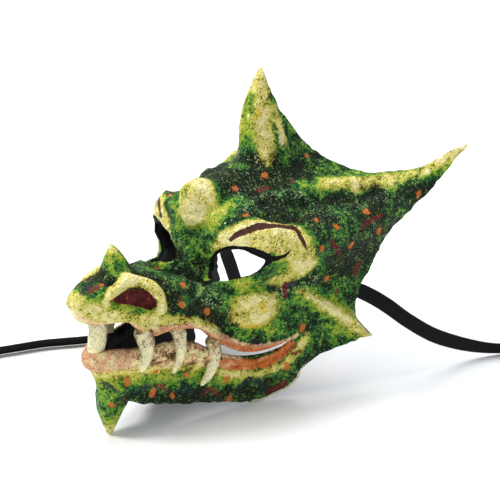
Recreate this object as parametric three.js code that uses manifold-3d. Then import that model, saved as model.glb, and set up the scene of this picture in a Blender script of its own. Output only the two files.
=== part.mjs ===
// Full-face dragon mask of moulded paper with two ribbon ties, standing on its chin spike and jaw edges.
// Units are millimetres, +Z is up, the face looks along -Y and the wearer's left is +X.
// The mask is shaped about the tip of its chin spike, and is set over the origin at the end.

import * as THREE from 'three';
import { mergeVertices } from 'three/addons/utils/BufferGeometryUtils.js';
import Module from 'manifold-3d';

const wasm = await Module();
wasm.setup();

// Driving sizes
const wall = 3.0;              // thickness of the moulded paper
const tipWall = 0.8;           // thickness at the thinnest tips
const seatY = 121.4;           // from the chin spike's tip back to the middle of the depth
const acrossSteps = 26;        // facets across the whole sheet
const upSteps = 35;            // facets from the jaw edge to the crest

// Ribs of the sheet from the jaw up. Each rib is a smooth curve from the middle line to the edge:
// front [y, z] on the middle line, breadth of the blunt middle, a guiding point at the cheek, and the edge.
const ribs = [
  { name: 'jaw edge',    front: [0, 30],     breadth: 18, cheek: [22, 48, 13],     edge: [45, 112, 0] },
  { name: 'chin',        front: [-8, 42],    breadth: 18, cheek: [22, 54, 32],     edge: [57, 130, 14] },
  { name: 'lower lip',   front: [-17, 64],   breadth: 20, cheek: [24, 60, 48],     edge: [70, 154, 34] },
  { name: 'mouth',       front: [-15, 84],   breadth: 20, cheek: [24, 64, 60],     edge: [84, 190, 42] },
  { name: 'upper lip',   front: [-20, 99],   breadth: 20, cheek: [26, 68, 72],     edge: [82, 188, 52] },
  { name: 'snout tip',   front: [-29, 112],  breadth: 22, cheek: [30, 72, 86],     edge: [80, 186, 64] },
  { name: 'nostrils',    front: [-14, 123],  breadth: 22, cheek: [36, 82, 98],     edge: [80, 187, 76] },
  { name: 'snout back',  front: [24, 121],   breadth: 20, cheek: [50, 112, 102],   edge: [81, 192, 88] },
  { name: 'bridge',      front: [60, 119],   breadth: 26, cheek: [66, 106, 110],   edge: [83, 202, 102] },
  { name: 'eyes',        front: [82, 132],   breadth: 44, cheek: [78, 98, 122],    edge: [85, 208, 116] },
  { name: 'brow',        front: [87, 150],   breadth: 46, cheek: [80, 98, 132],    edge: [90, 222, 132] },
  { name: 'ridge',       front: [94, 160],   breadth: 38, cheek: [68, 124, 136],   edge: [99, 240, 148] },
  { name: 'forehead',    front: [112, 170],  breadth: 30, cheek: [54, 170, 134],   edge: [107, 254, 166] },
  { name: 'crest',       front: [146, 183],  breadth: 26, cheek: [54, 204, 134],   edge: [114, 265, 182] },
  { name: 'crest edge',  front: [184, 198],  breadth: 26, cheek: [56, 220, 130],   edge: [118, 271, 193] },
];

// Swells that follow a line of [x, y, z, half width, height] stations on the sheet, both sides alike
const hornRidge = [
  [40, 100, 157, 13, 0], [39, 126, 161, 12, 2], [46, 156, 166, 12, 11], [62, 190, 169, 13, 20],
  [78, 221, 175, 12, 15], [99, 250, 184, 8, 7], [118, 271, 193, 4, 0],
];
const browLump = [[0, 87, 149, 11, 8], [0, 92, 158, 12, 19], [2, 100, 164, 13, 13], [5, 112, 169, 11, 4]];
const noseBridge = [[0, 36, 122, 12, 0], [0, 56, 119, 14, -4], [0, 70, 125, 16, -10], [0, 81, 133, 14, -4]];
const eyeCorner = [[12, 64, 117, 10, -11], [18, 74, 114, 14, -25], [28, 83, 118, 11, -13]];
const eyeOuter = [[49, 103, 110, 13, 5], [55, 104, 120, 13, 7], [60, 110, 130, 12, 4]];
const browEnd = [[38, 98, 152, 9, 3], [47, 104, 150, 9, 7], [56, 113, 148, 9, 4]];
const swells = [hornRidge, browLump, noseBridge, eyeCorner, eyeOuter, browEnd];

// The spike on the crest is drawn out of the sheet, from its foot on the edge to its tip
const crestSpike = {
  foot: [0, 184, 198], tip: [0, 160.5, 250], lean: [0, -6.5, 0], reachX: 27.5, reachDown: 48,
  round: 1.4, power: 1.7, square: 3,
};

// Solid forms that stand on the sheet, as [x, y, z, radius] stations from root to tip
const noseHorn = [
  [0, 14, 112, 18], [0, 13, 124, 13], [0, 11.5, 134, 8.5], [0, 10.5, 141, 5], [0, 10, 146, 1.6],
];
const chinSpike = [[0, 9, 42, 13], [0, 3, 27, 12], [0, 0, 12, 7], [0, 0, 0, 2]];
const cheekSpike = [
  [59, 140, 85, 2.5], [66, 154, 77, 5.5], [77, 173, 64, 7], [85, 190, 51, 5], [89, 198, 44, 1.6],
];
const upperLip = [
  [-2, -18, 99, 3.5], [11, -10, 98, 3.5], [18, 5, 97, 3.5], [20, 13, 90, 4], [24, 27, 81, 4.2],
  [26.5, 36, 83, 4], [31, 51, 82, 4], [34, 61, 79, 4], [37.5, 71, 68, 4], [41, 83, 59, 4],
  [46, 95, 52, 4], [51, 110, 49.8, 3.5], [57, 127, 51.5, 2.2],
];
const lowerLip = [
  [-3, -11.5, 64, 8.5], [9, -7, 64, 8.5], [16, 6, 64, 8], [21.5, 22, 61, 6.5], [25.5, 35, 62, 6.5],
  [31.5, 54, 60, 6], [36, 67, 53, 5], [41, 80, 46, 5], [46, 95, 41, 4.5], [51, 110, 40.5, 4],
  [58, 128, 46, 2.2],
];
const nostrilRim = [
  [15, -7, 110, 3], [14.5, 7, 121, 4], [17.5, 19, 122, 5], [22.5, 25.5, 118, 5.5], [27, 27.5, 110, 5.5],
  [28, 27, 100, 4.5],
];
const fangs = [
  [[0, -8, 102, 7.5], [0, -6.5, 89, 8], [0, -8, 77, 7], [0, -12, 67, 4]],
  [[20.5, 17.5, 84, 7], [22.5, 19, 75, 6.5], [23, 18, 64, 5], [21.5, 14, 53, 1.8]],
  [[28.5, 45, 80, 6], [31, 46, 70, 5.5], [31.5, 44, 58, 4], [29, 39, 45.5, 1.6]],
  [[37.5, 73, 64, 6], [39.5, 73, 54, 6], [39, 70, 42, 5], [34.5, 62, 29, 1.8]],
];
const cheekKnob = { at: [50.5, 104, 80], radii: [16, 7, 15.5], turn: 48 };
const nostrilHollow = { at: [23.9, 9, 110.5], radii: [10, 5, 6.5], turn: 74 };

// The mouth, cut right across, as [y, z] of its upper edge and then its lower edge
const mouthUpper = [
  [-40, 97], [-9, 95], [5, 95], [12, 88], [25, 78], [34, 80], [50, 79], [60, 75.5], [71, 65], [82, 56.6],
  [95, 49.7], [109, 47.3], [127, 50],
];
const mouthLower = [
  [109, 44], [95, 43.8], [78, 49.4], [66, 57.2], [53, 66.7], [34, 68.8], [23, 66], [9.5, 73], [-40, 73],
];

// The eye, as [along, up] on an upright plane that faces eyeFacing degrees off the front
const eyeFacing = 30;
const eyeOutline = [
  [61.2, 108.8], [61.6, 114.5], [64, 121.1], [68.8, 126.3], [76.9, 130.2], [86, 130.7], [91.9, 129.4],
  [98.4, 127.4], [103.4, 124.6], [101.3, 119.6], [97.2, 114.5], [91.2, 110.9], [85.3, 109], [76.8, 108.3],
  [69.4, 108.8],
];

// A smooth curve through equally spaced stations, at place t from 0 to 1
function throughStations(values, t) {
  const last = values.length - 1;
  const place = THREE.MathUtils.clamp(t, 0, 1) * last;
  const i = Math.min(Math.floor(place), last - 1);
  const f = place - i;
  const at = (k) => {
    if (k < 0) return values[0].map((a, n) => 2 * a - values[1][n]);
    if (k > last) return values[last].map((a, n) => 2 * a - values[last - 1][n]);
    return values[k];
  };
  const [a, b, c, d] = [at(i - 1), at(i), at(i + 1), at(i + 2)];
  return b.map((_, n) => 0.5 * (2 * b[n] + (c[n] - a[n]) * f
    + (2 * a[n] - 5 * b[n] + 4 * c[n] - d[n]) * f * f
    + (3 * b[n] - a[n] - 3 * c[n] + d[n]) * f * f * f));
}

const ribColumns = [
  ribs.map((r) => [0, r.front[0], r.front[1]]),
  ribs.map((r) => [r.breadth, r.front[0], r.front[1]]),
  ribs.map((r) => r.cheek),
  ribs.map((r) => r.edge),
];

// The plain sheet: a cubic from the middle line (across 0) to either edge (across -1 or 1), smooth up v
function plainPoint(across, v) {
  const [a, b, c, d] = ribColumns.map((column) => throughStations(column, v));
  const u = Math.abs(across);
  const w = 1 - u;
  const weights = [w * w * w, 3 * w * w * u, 3 * w * u * u, u * u * u];
  const corners = [a, b, c, d];
  const [x, y, z] = a.map((_, n) => corners.reduce((sum, corner, k) => sum + weights[k] * corner[n], 0));
  return new THREE.Vector3(across < 0 ? -x : x, y, z);
}

function normalOf(surface, across, v) {
  const step = 0.004;
  const du = surface(Math.min(across + step, 1), v).sub(surface(Math.max(across - step, -1), v));
  const dv = surface(across, Math.min(v + step, 1)).sub(surface(across, Math.max(v - step, 0)));
  return du.cross(dv).normalize();
}

// Height of a swell at a point: full on its line of stations, and gone at half as far again as its half width
function swellHeight(point, line) {
  let nearest = { off: Infinity, height: 0 };
  for (let i = 0; i + 1 < line.length; i += 1) {
    const from = new THREE.Vector3(...line[i]);
    const along = new THREE.Vector3(...line[i + 1]).sub(from);
    const f = THREE.MathUtils.clamp(point.clone().sub(from).dot(along) / along.lengthSq(), 0, 1);
    const halfWidth = THREE.MathUtils.lerp(line[i][3], line[i + 1][3], f);
    const off = point.distanceTo(from.addScaledVector(along, f)) / halfWidth;
    if (off < nearest.off) nearest = { off, height: THREE.MathUtils.lerp(line[i][4], line[i + 1][4], f) };
  }
  const inside = Math.max(0, 1 - (nearest.off / 1.5) ** 2);
  return nearest.height * inside * inside;
}

// Share of the way to the crest spike's tip, over a squarish patch about its foot
function spikeShare(point) {
  const { foot, reachX, reachDown, round, power, square } = crestSpike;
  const down = Math.hypot(point.y - foot[1], point.z - foot[2]);
  const off = ((Math.abs(point.x) / reachX) ** square + (down / reachDown) ** square) ** (1 / square);
  return Math.max(0, 1 - off ** round) ** power;
}

const spikeRise = new THREE.Vector3(...crestSpike.tip).sub(new THREE.Vector3(...crestSpike.foot));
const spikeLean = new THREE.Vector3(...crestSpike.lean);
const hornTip = new THREE.Vector3(...ribs[ribs.length - 1].edge);

function facePoint(across, v) {
  const point = plainPoint(across, v);
  const half = new THREE.Vector3(Math.abs(point.x), point.y, point.z);
  const height = swells.reduce((sum, line) => sum + swellHeight(half, line), 0);
  const share = spikeShare(point);
  point.addScaledVector(normalOf(plainPoint, across, v), height);
  return point.addScaledVector(spikeRise, share).addScaledVector(spikeLean, 4 * share * (1 - share));
}

// The paper thins towards the tips of the spike and the horns
function wallAt(point) {
  const half = new THREE.Vector3(Math.abs(point.x), point.y, point.z);
  const toTip = Math.min(half.distanceTo(hornTip), half.distanceTo(new THREE.Vector3(...crestSpike.tip)));
  return THREE.MathUtils.lerp(tipWall, wall, THREE.MathUtils.smoothstep(toTip, 0, 40));
}

// A closed shell: the outer face, the inner face one wall behind it, and the edge all round
function shellGeometry() {
  const columns = acrossSteps + 1;
  const outer = [];
  const inner = [];
  for (let j = 0; j <= upSteps; j += 1) {
    for (let i = 0; i <= acrossSteps; i += 1) {
      const across = -1 + (2 * i) / acrossSteps;
      const v = j / upSteps;
      const point = facePoint(across, v);
      outer.push(point);
      inner.push(point.clone().addScaledVector(normalOf(facePoint, across, v), -wallAt(point)));
    }
  }
  const index = [];
  const back = outer.length;
  const quad = (a, b, c, d) => index.push(a, b, c, a, c, d);
  for (let j = 0; j < upSteps; j += 1) {
    for (let i = 0; i < acrossSteps; i += 1) {
      const a = j * columns + i;
      quad(a, a + 1, a + 1 + columns, a + columns);
      quad(back + a, back + a + columns, back + a + 1 + columns, back + a + 1);
    }
  }
  for (let i = 0; i < acrossSteps; i += 1) {
    const top = upSteps * columns + i;
    quad(back + i, back + i + 1, i + 1, i);
    quad(top, top + 1, back + top + 1, back + top);
  }
  for (let j = 0; j < upSteps; j += 1) {
    const right = j * columns;
    const left = right + acrossSteps;
    quad(right, right + columns, back + right + columns, back + right);
    quad(back + left, back + left + columns, left + columns, left);
  }
  const geometry = new THREE.BufferGeometry();
  geometry.setAttribute('position', positionsOf([...outer, ...inner]));
  geometry.setIndex(index);
  return geometry;
}

// A closed round bar through [x, y, z, radius] stations, with flat ends
function barGeometry(stations, sides, steps) {
  const points = [];
  const index = [];
  const place = (t) => throughStations(stations, t);
  for (let k = 0; k <= steps; k += 1) {
    const t = k / steps;
    const [x, y, z, radius] = place(t);
    const before = new THREE.Vector3(...place(Math.max(t - 0.02, 0)));
    const along = new THREE.Vector3(...place(Math.min(t + 0.02, 1))).sub(before).normalize();
    const sideways = new THREE.Vector3(1, 0.35, 0.2).cross(along).normalize();
    const other = along.clone().cross(sideways);
    for (let s = 0; s < sides; s += 1) {
      const turn = (2 * Math.PI * s) / sides;
      const spoke = sideways.clone().multiplyScalar(Math.cos(turn)).addScaledVector(other, Math.sin(turn));
      points.push(new THREE.Vector3(x, y, z).addScaledVector(spoke, radius));
    }
  }
  for (let k = 0; k < steps; k += 1) {
    for (let s = 0; s < sides; s += 1) {
      const a = k * sides + s;
      const b = k * sides + ((s + 1) % sides);
      index.push(a, b, b + sides, a, b + sides, a + sides);
    }
  }
  for (let s = 1; s + 1 < sides; s += 1) {
    const top = steps * sides;
    index.push(0, s + 1, s, top, top + s, top + s + 1);
  }
  const geometry = new THREE.BufferGeometry();
  geometry.setAttribute('position', positionsOf(points));
  geometry.setIndex(index);
  return geometry;
}

// A rounded lump with its own radii, turned about the upright axis
function lumpGeometry({ at, radii, turn }) {
  const geometry = new THREE.SphereGeometry(1, 10, 6);
  geometry.scale(...radii);
  geometry.rotateZ(THREE.MathUtils.degToRad(turn));
  return geometry.translate(...at);
}

// The same mesh with shared corners, and with the facets that shrink to nothing at a pole left out
function joined(geometry) {
  const bare = geometry.clone();
  bare.deleteAttribute('normal');
  bare.deleteAttribute('uv');
  const merged = mergeVertices(bare, 1e-4);
  const index = merged.index.array;
  const kept = [];
  for (let i = 0; i < index.length; i += 3) {
    const [a, b, c] = [index[i], index[i + 1], index[i + 2]];
    if (a !== b && b !== c && c !== a) kept.push(a, b, c);
  }
  return merged.setIndex(kept);
}

function mirrored(geometry) {
  const copy = joined(geometry).scale(-1, 1, 1);
  const index = copy.index.array;
  for (let i = 0; i < index.length; i += 3) [index[i], index[i + 1]] = [index[i + 1], index[i]];
  return copy;
}

// A prism of an outline, drawn on the XY plane and set by a matrix
function prismGeometry(outline, depth, matrix) {
  const shape = new THREE.Shape(outline.map(([a, b]) => new THREE.Vector2(a, b)));
  return new THREE.ExtrudeGeometry(shape, { depth, bevelEnabled: false }).applyMatrix4(matrix);
}

function solid(geometry) {
  const mesh = joined(geometry);
  const vertProperties = new Float32Array(mesh.attributes.position.array);
  const triVerts = new Uint32Array(mesh.index.array);
  return new wasm.Manifold(new wasm.Mesh({ numProp: 3, vertProperties, triVerts }));
}

function positionsOf(points) {
  return new THREE.Float32BufferAttribute(points.flatMap((p) => p.toArray()), 3);
}

function geometryOf(body) {
  const { vertProperties, triVerts } = body.getMesh();
  const geometry = new THREE.BufferGeometry();
  geometry.setAttribute('position', new THREE.BufferAttribute(new Float32Array(vertProperties), 3));
  geometry.setIndex(Array.from(triVerts));
  return geometry;
}

// Looking along +X, outline y and z become the mask's y and z
const acrossMatrix = new THREE.Matrix4().makeBasis(
  new THREE.Vector3(0, 1, 0), new THREE.Vector3(0, 0, 1), new THREE.Vector3(1, 0, 0),
).setPosition(-70, 0, 0);

function eyePrism() {
  const turn = THREE.MathUtils.degToRad(eyeFacing);
  const along = new THREE.Vector3(Math.cos(turn), Math.sin(turn), 0);
  const up = new THREE.Vector3(0, 0, 1);
  const out = along.clone().cross(up);
  const matrix = new THREE.Matrix4().makeBasis(along, up, out).setPosition(out.clone().multiplyScalar(-95));
  return prismGeometry(eyeOutline, 70, matrix);
}

function maskGeometry() {
  const pairs = [
    barGeometry(cheekSpike, 6, 4), barGeometry(nostrilRim, 5, 6), lumpGeometry(cheekKnob),
    ...fangs.slice(1).map((f) => barGeometry(f, 6, 3)),
  ];
  const added = [
    barGeometry(noseHorn, 8, 4), barGeometry(chinSpike, 8, 3), barGeometry(fangs[0], 7, 3),
    ...pairs, ...pairs.map(mirrored),
  ];
  const lips = [barGeometry(upperLip, 5, 11), barGeometry(lowerLip, 6, 9)];
  const mouth = prismGeometry([...mouthUpper, ...mouthLower], 140, acrossMatrix);
  let mask = solid(shellGeometry());
  mask = mask.subtract(solid(mouth));
  for (const lip of [...lips, ...lips.map(mirrored)]) mask = mask.add(solid(lip));
  for (const form of added) mask = mask.add(solid(form));
  const cuts = [eyePrism(), lumpGeometry(nostrilHollow)];
  for (const cut of [...cuts, ...cuts.map(mirrored)]) mask = mask.subtract(solid(cut));
  // The small pockets that the forms enclose where they cross are filled
  return geometryOf(mask.decompose().reduce((a, b) => (a.volume() > b.volume() ? a : b)));
}

// Each tie is a flat ribbon that stands on its edge, glued inside a temple, with its far end bare.
// Its route goes through these middle points, and the left one ends in a coil on the table.
const ribbonWidth = 12;
const ribbonThick = 1.2;
const tableMiddle = ribbonWidth / 2 + 0.3;
const leftRoute = [
  [65.8, 166.5, 83], [70.3, 178, 82.7], [75.6, 189.5, 80.5], [83, 200, 74], [92, 211, 64.5],
  [100.5, 228, 49], [109.5, 251, 32], [118.5, 275, 19], [127, 298, 9.5], [137, 316, tableMiddle],
  [149, 333, tableMiddle], [159.2, 347.7, tableMiddle],
];
const rightRoute = [
  [-65.8, 166.5, 83], [-70.3, 178, 82.7], [-75.6, 189.5, 80.2], [-81.5, 200, 70.5], [-86, 210, 56],
  [-90, 220, 38], [-95, 231, 20], [-103, 241, 9], [-115, 246, tableMiddle], [-128, 241, tableMiddle],
  [-136, 228, tableMiddle], [-139, 208, tableMiddle], [-138, 180, tableMiddle], [-134, 150, tableMiddle],
  [-130, 120, tableMiddle], [-129, 100, tableMiddle], [-133, 82, tableMiddle], [-144, 65, tableMiddle],
  [-155, 48, tableMiddle], [-162, 32, tableMiddle], [-169, 16, tableMiddle], [-177, -2, tableMiddle],
  [-189, -21, tableMiddle], [-208, -33, tableMiddle], [-231, -34, tableMiddle], [-250, -21, tableMiddle],
  [-258, 0, tableMiddle],
];
const leftCoil = { at: [195, 322], inner: 26, outer: 43 };

// A closed flat strip on a smooth route, its width kept upright
function stripGeometry(route, steps) {
  const curve = new THREE.CatmullRomCurve3(route.map((p) => new THREE.Vector3(...p)), false, 'centripetal');
  const half = ribbonThick / 2;
  const deep = ribbonWidth / 2;
  const section = [
    [-half, -deep + half], [-half / 2, -deep], [half / 2, -deep], [half, -deep + half],
    [half, deep - half], [half / 2, deep], [-half / 2, deep], [-half, deep - half],
  ];
  const sides = section.length;
  const points = [];
  const index = [];
  for (let k = 0; k <= steps; k += 1) {
    const along = curve.getTangentAt(k / steps);
    const sideways = new THREE.Vector3(along.y, -along.x, 0).normalize();
    const up = sideways.clone().cross(along);
    for (const [a, b] of section) {
      points.push(curve.getPointAt(k / steps).addScaledVector(sideways, a).addScaledVector(up, b));
    }
  }
  for (let k = 0; k < steps; k += 1) {
    for (let s = 0; s < sides; s += 1) {
      const a = k * sides + s;
      const b = k * sides + ((s + 1) % sides);
      index.push(a, b + sides, b, a, a + sides, b + sides);
    }
  }
  for (let s = 1; s + 1 < sides; s += 1) {
    const last = steps * sides;
    index.push(0, s, s + 1, last, last + s + 1, last + s);
  }
  const geometry = new THREE.BufferGeometry();
  geometry.setAttribute('position', positionsOf(points));
  geometry.setIndex(index);
  return geometry;
}

function coilGeometry({ at, inner, outer }) {
  const low = tableMiddle - ribbonWidth / 2;
  const high = low + ribbonWidth;
  const profile = [[inner, low], [outer, low], [outer, high], [inner, high], [inner, low]];
  return new THREE.LatheGeometry(profile.map(([r, z]) => new THREE.Vector2(r, z)), 24)
    .rotateX(Math.PI / 2)
    .translate(at[0], at[1], 0);
}

const group = new THREE.Group();

function piece(name, geometry, look) {
  const mesh = new THREE.Mesh(geometry, new THREE.MeshStandardMaterial(look));
  mesh.name = name;
  mesh.position.set(0, -seatY, 0);
  group.add(mesh);
}

const ribbonLook = { color: 0x1d1c20, roughness: 0.6, metalness: 0 };
piece('mask_shell', maskGeometry(), { color: 0x3c7a35, roughness: 0.45, metalness: 0 });
piece('ribbon_left', stripGeometry(leftRoute, 20), ribbonLook);
piece('ribbon_left_coil', coilGeometry(leftCoil), ribbonLook);
piece('ribbon_right', stripGeometry(rightRoute, 36), ribbonLook);

export default group;
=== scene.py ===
"""A full-face dragon mask of painted paper with two ribbon ties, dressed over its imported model.

Shapes are worked out in millimetres about the tip of the chin spike: +Z is up, the face looks along
-Y and the wearer's left is +X. to_frame() turns them into the model's frame, in metres.
"""

from __future__ import annotations

import logging
import math
from dataclasses import dataclass
from enum import Enum
from itertools import cycle

import bpy
import numpy as np
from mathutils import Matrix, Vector


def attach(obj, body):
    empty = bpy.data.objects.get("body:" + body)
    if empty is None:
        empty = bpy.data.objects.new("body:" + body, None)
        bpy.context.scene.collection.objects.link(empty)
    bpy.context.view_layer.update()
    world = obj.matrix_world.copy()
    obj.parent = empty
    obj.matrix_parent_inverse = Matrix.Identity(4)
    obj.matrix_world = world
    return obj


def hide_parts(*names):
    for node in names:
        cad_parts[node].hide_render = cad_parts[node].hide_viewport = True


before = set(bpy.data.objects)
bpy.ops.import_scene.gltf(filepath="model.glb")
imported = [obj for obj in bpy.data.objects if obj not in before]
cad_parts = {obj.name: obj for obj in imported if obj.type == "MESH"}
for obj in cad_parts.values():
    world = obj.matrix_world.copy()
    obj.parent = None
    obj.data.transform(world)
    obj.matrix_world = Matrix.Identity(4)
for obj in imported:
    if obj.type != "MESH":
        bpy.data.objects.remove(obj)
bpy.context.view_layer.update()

logging.basicConfig(level=logging.INFO, format="%(message)s")
log = logging.getLogger("mask")

SEAT_Y = 121.4  # from the chin spike's tip back to the middle of the mask's depth
TABLE_GAP = 0.3  # the ties lie this far above the table
WALL = 3.0  # thickness of the moulded paper
TIP_WALL = 1.8  # thickness at the thinnest tips
FAR = 16.0  # distances to an edge or an opening aren't followed beyond this
LOWEST = 0.15  # no point of the sheet lies lower over the table
TABLE_MIDDLE = 6.3  # height of a tie's middle line where it stands on its edge


def to_frame(points: np.ndarray) -> np.ndarray:
    """Points in millimetres about the chin spike's tip, as metres in the model's frame."""
    return (np.asarray(points, float) - [0.0, SEAT_Y, 0.0]) * 0.001


def smooth(low: float, high: float, value: np.ndarray) -> np.ndarray:
    """0 below low, 1 above high and smooth in between; low may be the larger one."""
    t = np.clip((np.asarray(value, float) - low) / (high - low), 0.0, 1.0)
    return t * t * (3.0 - 2.0 * t)


def stations_of(text: str) -> tuple:
    """Lines of stations from text: semicolons part the lines, commas the stations, spaces the numbers."""
    lines = (line.split(",") for line in text.split(";"))
    return tuple(tuple(tuple(map(float, station.split())) for station in line) for line in lines)


def linked(name: str, data: bpy.types.ID) -> bpy.types.Object:
    """A new object in the scene that shows this mesh, light or camera."""
    thing = bpy.data.objects.new(name, data)
    bpy.context.scene.collection.objects.link(thing)
    return thing


def through(values: tuple, t: np.ndarray) -> np.ndarray:
    """A smooth curve through equally spaced stations, as the CAD source draws it.

    Each span is the cubic whose end slopes are half the chord of its neighbours; past the ends the
    stations go on in a straight line.

    Args:
        values: the stations, one row each.
        t: places along the curve, from 0 to 1.

    Returns:
        The points at those places, with t's shape and one more axis.
    """
    v = np.asarray(values, float)
    v = np.concatenate([[2 * v[0] - v[1]], v, [2 * v[-1] - v[-2]]])
    place = np.clip(t, 0.0, 1.0) * (len(v) - 3)
    i = np.minimum(place.astype(int), len(v) - 4)
    f = (place - i)[..., None]
    a, b, c, d = v[i], v[i + 1], v[i + 2], v[i + 3]
    bend = (2 * a - 5 * b + 4 * c - d) * f * f + (3 * b - a - 3 * c + d) * f**3
    return 0.5 * (2 * b + (c - a) * f + bend)


def unit(vectors: np.ndarray) -> np.ndarray:
    """The same directions with length 1."""
    return vectors / np.maximum(np.linalg.norm(vectors, axis=-1, keepdims=True), 1e-9)


def mirrored(points: np.ndarray) -> np.ndarray:
    """The points with x made positive, so that both halves of the face read the same pattern."""
    half = np.array(points, float)
    half[..., 0] = np.abs(half[..., 0])
    return half


def walked(points: np.ndarray) -> np.ndarray:
    """How far along a line each of its points lies."""
    return np.concatenate([[0], np.cumsum(np.linalg.norm(np.diff(points, axis=0), axis=1))])


def tube_faces(rings: int, sides: int) -> np.ndarray:
    """Quads between neighbouring rings of points that are numbered ring by ring."""
    k, s = np.meshgrid(np.arange(rings - 1), np.arange(sides), indexing="ij")
    a, b = k * sides + s, k * sides + (s + 1) % sides
    return np.stack([a, b, b + sides, a + sides], -1).reshape(-1, 4)


def grain(points: np.ndarray, size: float, seed: int) -> np.ndarray:
    """Soft noise from -1 to 1: seeded random values on a lattice of that size, blended smoothly."""
    lattice = np.random.RandomState(seed).uniform(-1.0, 1.0, (24, 24, 24))
    place = np.asarray(points, float) / size + 500.0
    i = np.floor(place).astype(int)
    f = place - i
    f = f * f * (3 - 2 * f)
    total = np.zeros(place.shape[:-1])
    for corner in range(8):
        step = np.array([corner & 1, corner >> 1 & 1, corner >> 2 & 1])
        share = np.prod(np.where(step == 1, f, 1 - f), axis=-1)
        x, y, z = np.moveaxis((i + step) % 24, -1, 0)
        total += share * lattice[x, y, z]
    return total


def along_line(
    points: np.ndarray, line: tuple, by_width: bool = False
) -> tuple[np.ndarray, np.ndarray]:
    """How far points are from a line of stations, and the stations' own values there.

    Args:
        points: points in millimetres.
        line: stations [x, y, z, value, ...], at least one.
        by_width: measures in the line's first value instead of in millimetres.

    Returns:
        The distance to the nearest place on the line, and the values carried there.
    """
    stations = np.asarray(line, float)
    if len(stations) == 1:
        stations = np.repeat(stations, 2, axis=0)
    best = np.full(points.shape[:-1], np.inf)
    carried = np.zeros(points.shape[:-1] + (stations.shape[1] - 3,))
    for start, end in zip(stations[:-1], stations[1:]):
        span = end[:3] - start[:3]
        f = np.clip((points - start[:3]) @ span / max(span @ span, 1e-9), 0.0, 1.0)[..., None]
        off = np.linalg.norm(points - start[:3] - f * span, axis=-1)
        values = start[3:] + f * (end[3:] - start[3:])
        if by_width:
            off = off / values[..., 0]
        nearer = off < best
        best = np.where(nearer, off, best)
        carried = np.where(nearer[..., None], values, carried)
    return best, carried


def closed_curve(corners: tuple, steps: int = 10) -> np.ndarray:
    """A smooth closed curve through corners, as points; each span is cut into that many steps."""
    c = np.asarray(corners, float)
    f = np.arange(steps)[:, None, None] / steps
    a, b, d, e = np.roll(c, 1, 0), c, np.roll(c, -1, 0), np.roll(c, -2, 0)
    bend = (2 * a - 5 * b + 4 * d - e) * f * f + (3 * b - a - 3 * d + e) * f**3
    return (0.5 * (2 * b + (d - a) * f + bend)).transpose(1, 0, 2).reshape(-1, 2)


def outside_by(points: np.ndarray, loop: np.ndarray) -> np.ndarray:
    """Distance from flat points to a closed loop, positive outside it and negative inside.

    A point is inside where a ray along the first axis crosses the loop an odd number of times.
    """
    near = ((points > loop.min(0) - FAR) & (points < loop.max(0) + FAR)).all(-1)
    p = points[near][:, None]
    a, b = loop[None], np.roll(loop, -1, 0)[None]
    span = b - a
    f = np.clip(((p - a) * span).sum(-1) / np.maximum((span * span).sum(-1), 1e-9), 0, 1)
    away = np.linalg.norm(p - a - f[..., None] * span, axis=-1).min(1)
    rise = np.where(span[..., 1] == 0, 1e-9, span[..., 1])
    level = a[..., 0] + (p[..., 1] - a[..., 1]) * span[..., 0] / rise
    crossed = ((a[..., 1] > p[..., 1]) != (b[..., 1] > p[..., 1])) & (level > p[..., 0])
    inside = crossed.sum(1) % 2 == 1
    found = np.full(points.shape[:-1], FAR)
    found[near] = np.minimum(np.where(inside, -away, away), FAR)
    return found


class Node:
    """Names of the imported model's nodes."""

    SHELL = "mask_shell"
    LEFT = ("ribbon_left", "ribbon_left_coil")
    RIGHT = ("ribbon_right",)


class Slot(Enum):
    """The record's material slots."""

    PAINT = "painted_mache"
    RIBBON = "ribbon"


class Tint(Enum):
    """The maker's colours, as linear red, green and blue."""

    DEEP = (0.006, 0.016, 0.006)
    PINE = (0.01, 0.05, 0.016)
    GREEN = (0.022, 0.14, 0.025)
    LEAF = (0.12, 0.31, 0.03)
    LIME = (0.36, 0.46, 0.035)
    STRAW = (0.57, 0.56, 0.09)
    CREAM = (0.77, 0.67, 0.17)
    PALE = (0.91, 0.83, 0.4)
    OCHRE = (0.38, 0.27, 0.03)
    UMBER = (0.07, 0.045, 0.012)
    SALMON = (0.84, 0.42, 0.25)
    RUST = (0.46, 0.09, 0.025)
    ORANGE = (0.68, 0.17, 0.03)
    MAROON = (0.06, 0.006, 0.01)
    BLOOD = (0.12, 0.016, 0.014)
    WINE = (0.16, 0.014, 0.02)
    NAVY = (0.018, 0.034, 0.038)
    TAN = (0.36, 0.24, 0.09)
    GOLD = (0.78, 0.56, 0.03)
    BLACK = (0.004, 0.004, 0.005)
    PAPER = (0.75, 0.68, 0.48)
    TOOTH = (0.66, 0.62, 0.38)
    RIBBON = (0.012, 0.012, 0.014)


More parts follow.
